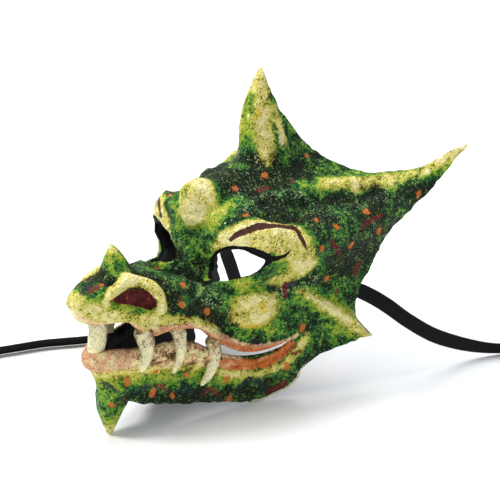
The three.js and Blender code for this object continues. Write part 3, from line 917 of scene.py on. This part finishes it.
        # a brush doesn't meet quite the same places on both halves
        shift = np.where(base[:, :1] < 0, [[0.0, 3.0, 2.5]], [[0.0, 0.0, 0.0]])
        for mark, strokes in MARKS.items():
            least = np.full(len(base), 9.0)
            for stroke in strokes:
                if len(stroke) > 2:
                    stroke = through(stroke, np.linspace(0, 1, 4 * len(stroke)))
                away, width = along_line(half + shift * (mark != "brow_mm"), stroke)
                least = np.minimum(least, away - width[:, 0])
            form.keep(mark, least)
        form.keep("eye_mm", self.openings.eye_off(base))

    def dress(self, form: Form, paint: bpy.types.Material, lining: bpy.types.Material) -> None:
        """Stores the nostrils' hollows, the black line round the eyes and the jaw's bare rim.

        Args:
            form: the built sheet.
            paint: its outer finish.
            lining: its inner finish.
        """
        half = mirrored(form.points)
        away, width = along_line(half, self.hollow)
        form.keep("hollow", smooth(1.12, 0.82, away / width[:, 0]) * (form.kept("lining") < 0.5))
        x, y, z = half.T
        lid = np.interp(x, *self.lid_breadth) * smooth(-3, 4, z - np.interp(x, *self.lid)) + 0.3
        inner_corner = 2.2 * smooth(30, 22, x)
        liner = form.kept("eye_mm") - np.maximum(lid, inner_corner)
        form.keep("liner_mm", np.minimum(liner, form.kept("tail_mm")))
        by_edge = smooth(4.2, 2.6, form.kept("edge_mm"))
        form.keep("bare", by_edge * smooth(34, 22, z) * smooth(98, 110, y))
        form.finish(paint, lining)


# Soft zones as lines of [x, y, z, radius, softness]
ZONES = {
    "cream": stations_of("""
        24 86 128 3 3, 33 89 137 7 3, 43 94 140 11 3, 52 101 142 12 3, 60 111 141 12.5 3,
          66 122 136 12.5 3, 70 131 124 11 4, 66 135 111 11 5, 60 130 104 8 5, 54 117 102 4 5;
        0 79 148 7 4, 5 84 155 11 4, 7 88 166 11.5 4, 4 90 174 10 3;
        15 151 184 5 6, 13.5 151 197 7 5, 10.5 152 213 7 4, 7 154 230 7 3, 0 160 243 9 3;
        18 166 194 2 3, 14.5 164 207 2.5 3, 11 162 220 2.5 3;
        52 174 166 4 6, 64 194 166 7.5 6, 78 215 168 8.5 6, 92 236 174 8 5, 106 257 183 8 4,
          118 271 193 12 4;
        46.5 95 84 13.5 3, 51 109 81 14 3;
        61 138 91 2 3, 68 156 78 3.5 3, 76 176 60 4 3, 84 190 48 6 3;
        0 12 122 4.2 2.5;
        0 -29 107 9 4, 8 -20 104 9 4, 16 -7 101 7 3, 24 20 93 5 3;
        0 -32 114 7 6, 6 -26 113 6 6;
        15 -9 112 3.5 1.5, 14.6 -2 118 4 1.5, 14.8 8 120.5 4 1.5, 17 18 120 4.4 1.5, 22.5 25 115.5 5 1.5,
          27.5 29 108 5 1.5, 28 30 100 5.5 2;
        16 -3 97 4 3, 22 19 90 5 3, 30 48 87 4 3, 38 72 73 3 3;
        0 -15 57 5 4, 12 -2 55 6 5, 24 28 53 7 5, 33 58 46 6 5;
        35 70 38 2.5 4, 39 84 32 3 3, 48 106 27 3.6 3, 57 125 31.5 3.6 3, 63 141 44 3.6 3, 64 146 53 2 3;
        0 0 2 9 4, 0 0 10 6 4, 0 1 18 3 5
    """),
    "lime": stations_of("""
        0 140 184 15 7, 0 150 205 15 6, 0 157 230 15 6;
        46 160 167 7 6, 62 190 165 13 6, 80 218 168 14 6, 100 247 178 14 6, 118 271 193 15 5;
        46.5 95 84 19 5, 51 109 81 19 5;
        4 -10 46 11 8, 20 20 46 12 8, 30 56 38 11 8, 44 90 28 9 6, 56 122 30 7 6, 63 144 46 6 5;
        0 4 36 8 7, 0 4 22 12 7, 0 0 6 11 5;
        0 -29 110 10 6, 12 -12 108 8 5, 26 26 100 11 5;
        0 11 122 8 4;
        5 80 142 9 6, 12 86 150 11 6, 20 98 158 9 6, 24 110 162 6 6;
        61 138 91 8 5, 70 160 74 9 5, 80 182 55 12 5;
        18 0 95 9 4, 24 26 88 7 4, 33 56 82 5 4, 43 84 58 3 4;
        30 87 128 9 5, 52 104 140 15 5, 67 124 132 16 5, 62 134 104 14 6;
        22 78 107 5 4, 35 84 105 5 4, 50 99 107 6 4;
        4 86 164 15 5;
        10 62 119 5 7, 8 74 130 6 7
    """),
    # painted shade: the next zone darkens the paint under the brow's arch, on the horn's lower flank, in
    # the nostril's groove, along the cheek's fold, round the spike's foot and under the jaw
    "shade": stations_of("""
        42 104 152 5 5, 52 116 153 6 5, 60 134 150 7 5, 66 148 146 6 5;
        62 184 154 8 6, 78 210 153 8 6, 98 240 160 8 6;
        8 22 121 3 3, 9 34 119 4 3, 25 38 114 5 4, 30 37 100 5 5;
        34 58 90 6 6, 40 76 84 8 6, 46 88 70 6 6;
        14 122 170 13 7, 0 122 174 13 7, 26 146 170 10 6, 34 168 172 8 6;
        12 144 180 9 7, 22 150 184 8 6;
        74 176 110 14 10, 80 196 128 12 10;
        60 150 100 8 8, 52 118 94 6 6;
        10 3 36 6 6, 24 34 26 6 6, 40 80 12 8 6, 54 120 14 6 6
    """),
    "salmon": stations_of("""
        0 -20 71 6 3, 8 -14 70 6 3, 15 0 69 5 3, 20 12 69 3 3;
        0 -17 65 7 3, 8 -12 64 6.5 3, 15 -1 64 6 4, 19 9 64 3 5;
        34 58 66 2 3, 39 74 54 2.5 3, 44 90 46 2 3;
        0 -27 103 2.6 2, 7 -20.5 101 2.8 2, 9 -15.5 97.5 3 2, 19 5.5 94 3 2, 21 11 90 3.2 2,
          24 17 86 3.6 2, 23.5 27 81.5 4 2, 28 38 83 4 2, 31.5 50 81 4 2, 34 59 75.5 4 2, 37 67.5 70 4 2,
          40 77 63.5 4.4 2, 43.5 89.5 54.8 4.4 2, 47.8 102 50 4 2, 52.8 116 48.5 3.6 2, 57 128 50 2.4 2,
          61 138 54 1 2
    """),
    "rust": stations_of("""
        37 74 47 3 3, 41 84 41 5 3, 48 104 36.5 5.6 2.5, 54 118 38 5.2 2.5, 60 132 46 4 2.5;
        19 5.5 94 0.5 3, 21 11 90 0.8 4, 24 17 86 1 4, 23.5 27 81 1.2 4, 28 38 83 1.2 4,
          31.5 50 80.5 1.5 4, 34 59 74.8 1.8 4, 37 67.5 69 2 3.5, 40 77 62.5 2.4 3.5,
          43.5 89.5 54.2 2.6 3, 47.8 102 49.5 2.4 3, 52.8 116 48 2.2 3, 57 128 49.5 1.6 2;
        0 -20 64 0.5 5, 7 -14 61 0.5 5, 14 -3 60 0.2 4
    """),
    "gum": stations_of("""
        16 8 70 3 3, 22 20 68 5 4, 27 36 66 7 4, 33 56 63 7 4, 38 70 54 5 4;
        16 6 62 4 4, 22 20 61 6 4, 27 36 59 8 4, 33 56 55 8 4, 38 70 48 5 4
    """),
    # painted highlight: the next zone lays pale glints on the crests of the brow's arch, the cheek, the
    # snout, the spike and the temple
    "glint_zone": stations_of("""
        33 108 157 4 4, 33 123 160 5 4, 38 137 162 5 4, 48 151 160 5 4, 56 159 152 3 4;
        56 124 94 7 7, 66 150 96 6 7;
        38 70 100 8 7, 26 56 110 5 6;
        12 146 184 7 6, 14 150 196 6 5;
        72 166 128 6 8, 66 150 138 5 7
    """),
}

# Orange dabs, as short strokes: [half width, half length] and lean, taken in turn
DAB_SIZES = ((1.6, 1.2), (2.1, 1.5), (1.8, 1.3), (2, 1.3), (1.5, 1.4), (1.9, 1.6), (1.8, 1.1))
DAB_LEANS = (0.4, -0.5, 0.2, 0.9, -0.2)
DAB_PLACES = stations_of("""
    26.5 184.5 180.8, 20.5 143 171.9, 16.7 115.5 166.9, 39.5 103 155.3, 67.5 149.3 145.8,
      77.8 160.5 140.8, 82.7 172.7 123.7, 77.3 145.2 126.8, 82.4 189.8 146.3, 98.2 235.5 153.2,
      87.3 201.2 129, 69.6 160.8 96.3, 29.2 49 111.9, 32.3 45.3 98.9, 7.8 -6.5 122.3, 37 65.6 88.5,
      62.1 141.8 59, 57.5 127.7 30.2, 51.2 113 32.2, 38.7 83.2 27.9, 28.5 51.8 38.9, 22.4 27.7 49,
      14.4 7 45.8, 8.6 -3.2 28.8, 37.4 87.1 9.3, 23.9 41.2 24.4, 19.5 25.8 31.1, 24 74 109, 92 214 118,
      58 150 22, 86 214 104, 3 66 120
""")[0]

# Marks of the brush as lines of [x, y, z, half width]
MARKS = {
    "brow_mm": stations_of("""
        37.5 90.5 138.4 1.5, 42 93 143 2.1, 47 95 145.5 2.2, 51 99 148 2.3, 54 103 149 2.3,
          58 110 148.4 2.3, 60 119 147 2.3, 63 127 145 2.2, 67 129 143 2.1, 70 128.5 139 1.9,
          72 129.5 135 1.6, 73 132 129 0.8
    """),
    "tail_mm": stations_of("""
        58 99 128 2.6, 61 101 126.8 2.6, 64 106 125.6 2.4, 66 110.5 126.4 2, 68 114 128 1.5,
          69 118 131.5 0.6
    """),
    "orange_mm": [
        [[x, y - long * lean, z + long, r], [x, y + long * lean, z - long, r]]
        for (x, y, z), (r, long), lean in zip(DAB_PLACES, cycle(DAB_SIZES), cycle(DAB_LEANS))
    ],
    "wine_mm": stations_of("""
        85.2 181 135.8 1.3, 86.3 189.6 139.6 2.3, 88.8 201.5 141.7 1.6;
        79.3 151.6 132 1.2, 80.2 159.3 123.8 1.8, 79.2 164 116.6 1.2;
        79.9 185.4 104.2 2.1, 78.4 185.1 95 2.2;
        72.7 169.5 83.5 2.2;
        26.6 130.5 164.4 2.4, 29 138 166 1.4;
        36.8 156.7 167.5 2;
        20.8 28 36.9 1.2, 22.2 33.7 34.2 2, 22.9 37 29.4 1.2;
        31 64.4 19.2 1.2, 33.3 70.5 22.4 2, 35 78 15 1.2;
        49.1 115.6 8.9 1.3, 53.1 121.9 14.1 2.2, 55.5 125.9 18.2 1.4;
        60.2 133 38.9 1.5, 62.4 138.3 39.6 2.1;
        13.4 5.6 33.3 1.6, 12.1 4.1 28.7 1.2;
        7.7 -16.4 119.8 1.6, 7.6 -10.2 121.9 2.2;
        56.5 127.6 97.2 2.2, 57.4 126.9 88.4 2;
        30 44 104 1.8, 31 46 100 1.2
    """),
    "navy_mm": stations_of("""
        91 214 145.6 2.6, 96 226 150 1.6;
        5.3 -8 46.6 1.4, 7.9 -4.5 44.3 1.9, 10.2 -0.6 40.4 1.3;
        16.3 15 36.2 1.2, 18.1 20.1 38.4 1.9, 19.3 24.2 34.9 1.2;
        24.6 44.6 24 0.9, 25.5 45.8 27.4 1.6, 27.1 50 28.9 1.9, 28.4 55.2 24.8 1.7, 28.5 56.4 21.2 1;
        40.5 93 13 1, 41.9 94.6 18.9 2, 44.5 99.6 22.8 2.5, 47.5 107.6 20.4 2.5, 48.7 112.4 13.8 2.1,
          46.8 111.2 7.7 1.2;
        3.7 -15.5 122.2 2.2, 4.5 -20.4 119.9 2;
        59.5 135.8 97.9 2.6, 57.9 130.8 95.5 2;
        75.5 158 113 1.8;
        24 60 116 1.6, 22 52 118 2.4, 20 46 119 1.2;
        36 72 101 2.4, 40 82 99 1.4
    """),
    "dab_mm": stations_of("""
        66.5 196.3 162.8 3.2;
        97.4 246.2 169.5 3;
        82 221 163 2;
        0.7 145.3 215.3 2.4;
        16.7 164.6 201.7 2.2, 18.4 162.4 192.7 1.4
    """),
    "gold_mm": stations_of("""
        50 105 88.9 2.6, 50.9 108.2 83.7 3;
        45 94.1 73.1 2.2, 49.3 107.2 69.3 2.6;
        12 90 152 1.6;
        58 122 124 1.8;
        40 96 96 1.2;
        10 150 226 1.8, 8 148 214 1.2
    """),
}


@dataclass(frozen=True)
class Paint:
    """The speckled paint of the sheet, laid in the order that a painter works in."""

    name: str = "speckled paint"

    def make(self) -> bpy.types.Material:
        """Builds the material.

        A green ground is mottled and stippled, darkened by painted shade in dips and shade zones and
        lit by painted highlight glints on crests; soft zones of lime and cream break up at their edges
        by noise, and the brush marks are cut out of stored distances.
        """
        t = Tree(self.name)
        cloud, mottle = t.noise(22.0, 5.0, 0.0, 0.62), t.noise(8.0, 4.0, 0.3, 0.66)
        pulp, crumb, dust = t.noise(3.2, 2.0, 0.7), t.noise(1.7, 1.0, 1.1), t.noise(1.1, 0.0, 1.7)
        uneven = (cloud - 0.5) * 1.6 + (mottle - 0.5) * 1.5 + (pulp - 0.5) * 0.9 + (crumb - 0.5) * 0.5
        dip = t.stored("dip")
        lime, shade, cream_zone = t.stored("lime"), t.stored("shade"), t.stored("cream")

        def zone(name: str, low: float, high: float, stray: float = 0.5) -> Value:
            """A stored zone, broken up at its edge by the unevenness."""
            return (t.stored(name) + uneven * stray).step(low, high)

        # painted shade: the tone falls in the shade zones and in dips, the recesses
        tone = uneven * 1.15 + lime * 0.6 - shade * 0.5 - (dip * 0.2).clamped() + 0.3
        greens = ((0.0, Tint.DEEP), (0.22, Tint.PINE), (0.42, Tint.GREEN), (0.66, Tint.LEAF))
        ground = t.graded(tone, *greens, (0.98, Tint.LIME), (1.35, Tint.STRAW))
        crowd = (cloud - 0.5) * 0.5 + (mottle - 0.5) * 0.7
        spots = dust * 0.6 + crumb * 0.4 + crowd * 0.6 + lime * 0.02 - shade * 0.02
        light_flecks = spots.step(0.56, 0.64) * 0.4
        ground = t.mix(light_flecks, ground, t.mix(pulp.step(0.4, 0.6), Tint.LEAF, Tint.STRAW))
        dark_flecks = (crumb * 0.5 + dust * 0.5 + (mottle - 0.5) * 0.6).step(0.42, 0.36)
        ground = t.mix(dark_flecks * 0.75, ground, Tint.DEEP)
        # painted highlight: pale paper-coloured glints on the crests, in the glint zones
        glint_zone = zone("glint_zone", 0.3, 1.0)
        glints = (crumb * 0.4 + dust * 0.6 + crowd * 0.5).step(0.54, 0.66)
        ground = t.mix(glints * glint_zone * 0.5, ground, Tint.PAPER)

        cream = zone("cream", 0.22, 0.78)
        # painted shade: the cream's tone falls in dips
        glow = cream_zone * 0.62 + uneven * 1.0 - (dip * 0.25).clamped() + (dust - 0.5) * 0.35 + 0.12
        browns = ((-0.05, Tint.UMBER), (0.2, Tint.OCHRE), (0.42, Tint.STRAW))
        light = t.graded(glow, *browns, (0.66, Tint.CREAM), (0.95, Tint.PALE))
        colour = t.mix(cream, ground, light)
        gold = (t.stored("gold_mm") + (mottle - 0.5) * 6.0 + (crumb - 0.5) * 3.0).inside(0.0, 0.8)
        colour = t.mix(gold * 0.75, colour, Tint.GOLD)
        # painted shade: the lips' and gums' tone falls in dips
        flush = uneven * 1.1 - (dip * 0.2).clamped() + 0.5
        gum, salmon = zone("gum", 0.25, 0.75), zone("salmon", 0.3, 0.7, 0.4)
        flesh = ((0.0, Tint.UMBER), (0.22, Tint.TAN), (0.42, Tint.SALMON), (0.62, Tint.PALE))
        pink = ((-0.6, Tint.UMBER), (-0.2, Tint.RUST), (0.2, Tint.SALMON), (0.95, Tint.PALE))
        red = ((-0.4, Tint.MAROON), (0.05, Tint.RUST), (0.42, Tint.ORANGE), (0.95, Tint.SALMON))
        rust = zone("rust", 0.3, 0.7, 0.4)
        for share, tints in ((gum * 0.85, flesh), (salmon * 0.9, pink), (rust * 0.92, red)):
            colour = t.mix(share, colour, t.graded(flush, *tints))
        specks = (crumb * 0.4 + dust * 0.6 + crowd * 0.95 + cream_zone * 0.05).step(0.43, 0.35)
        colour = t.mix(specks * (cream * 0.75).most(gum * 0.7).most(salmon * 0.25), colour, Tint.UMBER)

        wander = (pulp - 0.5) * 2.6 + (crumb - 0.5) * 1.8
        broken = (crumb * 0.6 + dust * 0.4).step(0.54, 0.62) * 0.4
        for name, tint, cover, stray, soft in (
            ("dab_mm", Tint.PALE, 0.75 - broken, 1.1, 0.7),
            ("navy_mm", Tint.NAVY, 0.85 - broken, 0.7, 0.7),
            ("wine_mm", Tint.WINE, 0.85 - broken, 1.1, 0.7),
            ("orange_mm", Tint.ORANGE, 0.92 - broken, 1.1, 0.7),
            ("brow_mm", Tint.MAROON, 0.97, 0.4, 0.4),
        ):
            stroke = (t.stored(name) + wander * stray).inside(0.1, soft)
            colour = t.mix(stroke * cover, colour, tint)

        reds = ((0.4, Tint.MAROON), (0.55, Tint.BLOOD), (0.66, Tint.RUST))
        inside = t.graded(pulp * 0.5 + mottle * 0.5, *reds)
        colour = t.mix(zone("hollow", 0.42, 0.6, 0.15), colour, inside)
        liner = (t.stored("liner_mm") + wander * 0.3).inside(0.0, 0.3)
        colour = t.mix(liner, colour, Tint.BLACK)
        colour = t.mix(zone("bare", 0.5, 0.7), colour, Tint.PAPER)

        height = mottle * 0.35 + pulp * 0.45 + crumb * 0.35 + dust * 0.15
        worn = (crumb - 0.5) * 0.8 + (mottle - 0.5) * 0.5
        return t.surface(
            Base_Color=colour,
            Roughness=(worn + liner * 0.25 + 0.45).clamped(),
            Normal=t.bump(height, 8.0, 1.0),
            Coat_Weight=(crumb * 0.5 + dust * 0.5).step(0.56, 0.68) * 0.6 * (1.0 - liner),
            Coat_Roughness=0.14,
            Specular_IOR_Level=0.12,
        )


@dataclass(frozen=True)
class Lining:
    """Dull black paint inside."""

    name: str = "black lining"

    def make(self) -> bpy.types.Material:
        """Builds the material: black with faint lumps of pulp."""
        t = Tree(self.name)
        pulp = t.noise(5.0, 3.0)
        colour = t.mix(pulp.step(0.4, 0.7), Tint.BLACK, Tint.RIBBON)
        return t.surface(
            Base_Color=colour,
            Roughness=(pulp - 0.5) * 0.3 + 0.6,
            Normal=t.bump(pulp, 1.5, 0.8),
            Specular_IOR_Level=0.05,
        )


@dataclass(frozen=True)
class Fang:
    """Bone-coloured paint, browner at the root, with painted shade on the hind side."""

    name: str = "fang paint"

    def make(self) -> bpy.types.Material:
        """Builds the material: pale paint with brown specks, which cover more towards the root."""
        t = Tree(self.name)
        mottle, pulp, crumb = t.noise(6.0, 3.0), t.noise(2.4, 2.0, 0.2), t.noise(1.1, 1.0, 0.5)
        uneven = (mottle - 0.5) * 1.4 + (pulp - 0.5) * 1.0 + (crumb - 0.5) * 0.5
        root, hind = t.stored("root"), t.stored("hind")
        # painted shade: the hind side of each fang is darker
        tone = uneven - root * 0.55 - hind * 0.35 + 0.85
        colour = t.graded(tone, (0.0, Tint.UMBER), (0.3, Tint.TAN), (0.6, Tint.TOOTH), (1.25, Tint.PALE))
        specks = (crumb + (mottle - 0.5) * 0.3 - root * 0.04).step(0.4, 0.35)
        colour = t.mix(specks * (root * 0.6 + 0.3).clamped(), colour, Tint.UMBER)
        rough = (crumb - 0.5) * 0.5 + 0.45
        height = pulp * 0.6 + crumb * 0.4
        return t.surface(Base_Color=colour, Roughness=rough, Normal=t.bump(height, 1.1, 0.8))


@dataclass(frozen=True)
class Weave:
    """Black ribbon with fine ribs across it."""

    name: str = "ribbon weave"
    rib_mm: float = 0.9

    def make(self) -> bpy.types.Material:
        """Builds the material: sine ribs along the tie's own map, crossed by finer threads."""
        t = Tree(self.name)
        uv = t.node("ShaderNodeUVMap", {"uv_map": "tie"}, {})
        height = 0.0
        for axis, size, share in (("X", self.rib_mm, 0.6), ("Y", self.rib_mm * 0.8, 0.4)):
            turned = t.node("ShaderNodeSeparateXYZ", {}, {0: uv}, axis) * (2 * math.pi * 1000.0 / size)
            wave = t.node("ShaderNodeMath", {"operation": "SINE"}, {0: turned}) * 0.5 + 0.5
            height = wave * share + height
        colour = t.mix((height * 0.5 + t.noise(3.0) * 0.5).step(0.35, 0.75), Tint.BLACK, Tint.RIBBON)
        return t.surface(
            Base_Color=colour,
            Roughness=height * 0.2 + 0.6,
            Normal=t.bump(height, 0.12, 0.8),
            Specular_IOR_Level=0.1,
        )


@dataclass
class Tie:
    """A flat ribbon on its edge, from inside a temple to its bare end."""

    name: str
    nodes: tuple
    route: tuple
    coil: tuple | None = None
    width: float = 12.0
    thick: float = 1.0
    coil_turns: float = 1.38
    spacing: float = 3.0
    low: float = 16.0  # height under which the strip settles for the table

    def path(self) -> np.ndarray:
        """The tie's middle line, a point about every 3 mm, with the coil wound at its end.

        The coil's radius falls from the ring's outside to its inside, evenly with the turn.
        """
        line = through(self.route, np.linspace(0, 1, 6 * len(self.route)))  # x, y, z and roll in degrees
        if self.coil is not None:
            centre, outer, inner = self.coil
            start = line[-1, :2] - centre
            first = math.atan2(start[1], start[0])
            turn = np.linspace(0, 1, int(self.coil_turns * 64) + 1)[1:]
            angle = first - turn * self.coil_turns * 2 * np.pi
            radius = outer + (inner - outer) * turn
            radius = radius + (np.hypot(*start) - outer) * np.exp(-turn * 18)
            ring = np.stack([np.cos(angle) * radius, np.sin(angle) * radius], -1) + centre
            roll = line[-1, 3] * np.exp(-turn * 9)
            line = np.concatenate([line, np.c_[ring, np.full(len(ring), line[-1, 2]), roll]])
        walk = walked(line[:, :3])
        even = np.linspace(0, walk[-1], int(walk[-1] / self.spacing) + 1)
        return np.stack([np.interp(even, walk, line[:, k]) for k in range(4)], -1)

    def build(self) -> Form:
        """A thin rounded strip carried along the path and rolled about it by the path's own angle.

        Where the strip is low, it is moved up or down so that its rolled section just clears the table.
        """
        line = self.path()
        tilt = np.radians(line[:, 3])
        line = line[:, :3].copy()
        ahead = unit(np.gradient(line, axis=0))
        sideways = unit(np.stack([ahead[:, 1], -ahead[:, 0], 0 * ahead[:, 0]], -1))
        upward = np.cross(sideways, ahead)
        tall = upward * np.cos(tilt)[:, None] + sideways * np.sin(tilt)[:, None]
        flat = np.cross(ahead, tall)
        below = self.width / 2 * np.abs(tall[:, 2]) + self.thick / 2 * np.abs(flat[:, 2])
        lying = smooth(self.low, TABLE_MIDDLE + 1, line[:, 2])
        line[:, 2] += (TABLE_GAP + below - TABLE_MIDDLE) * lying
        h, w = self.thick / 2, self.width / 2
        half = np.array([[-h, -w + h], [-h * 0.6, -w], [h * 0.6, -w], [h, -w + h], [h, 0.0]])
        section = np.concatenate([half, -half])
        rings = line[:, None] + flat[:, None] * section[:, :1] + tall[:, None] * section[:, 1:]
        sides = len(section)
        start_cap = np.arange(sides)[::-1][None]
        end_cap = np.arange(sides)[None] + (len(line) - 1) * sides
        faces = [tube_faces(len(line), sides), start_cap, end_cap]
        form = Form(self.name, rings.reshape(-1, 3), faces, Slot.RIBBON)
        walk = walked(line)
        self.map_weave(form, walk, section[:, 1])
        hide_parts(*self.nodes)
        log.info("%s is %.0f mm long", self.name, walk[-1])
        self.width * 0.001
        return form

    def map_weave(self, form: Form, walk: np.ndarray, across: np.ndarray) -> None:
        """Lays the tie's map: metres along it, and metres across it."""
        place = np.stack([np.repeat(walk, len(across)), np.tile(across, len(walk))], -1)
        uv = form.piece.data.uv_layers.new(name="tie")
        uv.data.foreach_set("uv", (place[form.corners()] * 0.001).ravel())


# Routes of the ties: [x, y, z, roll in degrees]
LEFT_ROUTE = stations_of("""
    65.8 166.5 83 0, 70.3 178 82.7 0, 75.6 189.5 80.5 -3, 83 200 74 -8, 92 211 64.5 -12, 100.5 228 49 -13,
      109.5 251 32 -6, 118.5 275 19.5 6, 127.5 297 11 18, 138 315.5 7 24, 148 333 6.3 24,
      159.2 347.7 6.3 18
""")[0]
RIGHT_ROUTE = stations_of("""
    -65.8 166.5 83 0, -70.3 178 82.7 0, -75.6 189.5 80.2 5, -81.5 200 70.5 30, -86 210 56 48,
      -90 220 38 50, -95 231 20 40, -103 241 9 20, -115 246 6.3 0, -128 241 6.3 0, -136 228 6.3 -4,
      -139 208 6.3 -10, -138 180 6.3 -18, -134 150 6.3 -26, -130 120 6.3 -31, -129 100 6.3 -33,
      -133 82 6.3 -33, -144 65 6.3 -33, -155 48 6.3 -33, -162 32 6.3 -33, -169 16 6.3 -33,
      -177 -2 6.3 -31, -189 -21 6.3 -24, -208 -33 6.3 -16, -231 -34 6.3 -8, -250 -21 6.3 -3, -258 0 6.3 0
""")[0]
# [x, y] of the coil's middle, then its outer and inner radius
LEFT_COIL = ((195.0, 322.0), 41.4, 29.0)


@dataclass
class Studio:
    """The pale table, the soft lights and the camera at the photograph's angle."""

    turn: float = 44.0
    rise: float = 20.0
    distance: float = 0.8
    lens: float = 72.0
    target: tuple = (0.0, 148.284, 105.245)

    def aim(self, thing: bpy.types.Object, at: np.ndarray) -> None:
        """Turns an object's -Z towards a point."""
        way = Vector(at) - thing.location
        thing.rotation_euler = way.to_track_quat("-Z", "Y").to_euler()

    def camera(self) -> None:
        """Sets the camera on its arc round the target."""
        turn, rise = math.radians(self.turn), math.radians(self.rise)
        at = to_frame(self.target)
        level = math.cos(rise)
        back = np.array([math.sin(turn) * level, -math.cos(turn) * level, math.sin(rise)])
        data = bpy.data.cameras.new("camera")
        data.lens = self.lens
        data.clip_start = 0.05
        seen = linked("camera", data)
        seen.location = at + back * self.distance
        self.aim(seen, at)
        bpy.context.scene.camera = seen

    def light(
        self,
        name: str,
        place: tuple,
        size: float,
        power: float,
        tint: tuple = (1.0, 1.0, 1.0),
        at: tuple = (0.0, 0.0, 0.12),
    ) -> None:
        """Adds one soft round panel that looks at the mask, or at another place.

        Args:
            name: what it is for.
            place: where it hangs, in metres.
            size: its breadth in metres.
            power: its watts.
            tint: its colour.
            at: the place that it looks at.
        """
        data = bpy.data.lights.new(name, "AREA")
        data.shape = "DISK"
        data.size = size
        data.energy = power
        data.color = tint
        lamp = linked(name, data)
        lamp.location = place
        self.aim(lamp, np.array(at))

    def table(self) -> None:
        """A wide pale floor under everything."""
        size = 6.0
        mesh = bpy.data.meshes.new("table")
        corners = [(-size, -size, 0), (size, -size, 0), (size, size, 0), (-size, size, 0)]
        mesh.from_pydata(corners, [], [(0, 1, 2, 3)])
        floor = linked("table", mesh)
        tree = Tree("pale table")
        mesh.materials.append(tree.surface(Base_Color=(0.93, 0.94, 0.95, 1.0), Roughness=0.7))

    def sky(self) -> None:
        """An even white world."""
        world = bpy.data.worlds.new("world")
        world.use_nodes = True
        background = world.node_tree.nodes["Background"]
        background.inputs["Color"].default_value = (0.93, 0.96, 1.0, 1.0)
        background.inputs["Strength"].default_value = 0.42
        bpy.context.scene.world = world

    def build(self) -> None:
        """Camera, lights, floor and world."""
        bpy.context.scene.view_settings.view_transform = "Standard"
        self.camera()
        self.light("key", (-0.55, -0.75, 1.0), 0.4, 12.0, (1.0, 0.98, 0.95))
        self.light("fill", (1.2, -0.7, 0.7), 0.8, 4.0, (0.97, 0.98, 1.0))
        self.light("overhead", (-0.3, 0.5, 2.2), 2.2, 46.0)
        self.light("backdrop", (-2.2, 2.2, 1.6), 1.6, 42.0, at=(-2.6, 2.7, 0.0))
        self.table()
        self.sky()


@dataclass
class Teeth:
    """The seven fangs and the chin spike, each a round form that tapers to its tip."""

    fangs: tuple = FANGS
    chin: tuple = CHIN_SPIKE

    def build_fangs(self, bone: bpy.types.Material) -> None:
        """Builds the fangs: the front one, and three on each side."""
        for number, stations in enumerate(self.fangs):
            for side in (1, -1) if number else (1,):
                placed = [[side * s[0], *s[1:]] for s in stations]
                points, faces = Rope(placed, seed=20 + number * 2 + side).build()
                name = f"fang_{number}" + (("_left" if side > 0 else "_right") if number else "")
                form = Form(name, points, faces, Slot.PAINT)
                _, y, z, _ = np.array(stations[::-1]).T
                form.keep("root", np.clip((points[:, 2] - z[0]) / (z[-1] - z[0]), 0, 1) ** 2)
                # hind: painted shade on each fang's back side
                form.keep("hind", smooth(-1, 5, points[:, 1] - np.interp(points[:, 2], z, y)))
                form.finish(bone)

    def build_chin(self, face: Face, paint: bpy.types.Material) -> None:
        """Builds the chin spike, in the face's own paint."""
        points, faces = Rope(self.chin, sides=48, steps=70, rough=0.3, seed=40).build()
        form = Form("chin_spike", np.maximum(points, [-99, -99, 0.1]), faces, Slot.PAINT)
        face.paint(form, points)
        plain = {"edge_mm": 9.0, "dip": 0.0, "hollow": 0.0, "liner_mm": 9.0, "bare": 0.0}
        for name, value in plain.items():
            form.keep(name, np.full(len(points), value))
        form.finish(paint)


def main() -> None:
    """Builds the studio, the ties and the mask, in that order."""
    Studio().build()
    weave = Weave().make()
    ties = (
        Tie("tie_left", Node.LEFT, LEFT_ROUTE, coil=LEFT_COIL),
        Tie("tie_right", Node.RIGHT, RIGHT_ROUTE),
    )
    for tie in ties:
        tie.build().finish(weave)
    face = Face(Sheet(), Openings())
    paint = Paint().make()
    face.dress(face.build(), paint, Lining().make())
    teeth = Teeth()
    teeth.build_fangs(Fang().make())
    teeth.build_chin(face, paint)


if __name__ == "__main__":
    main()
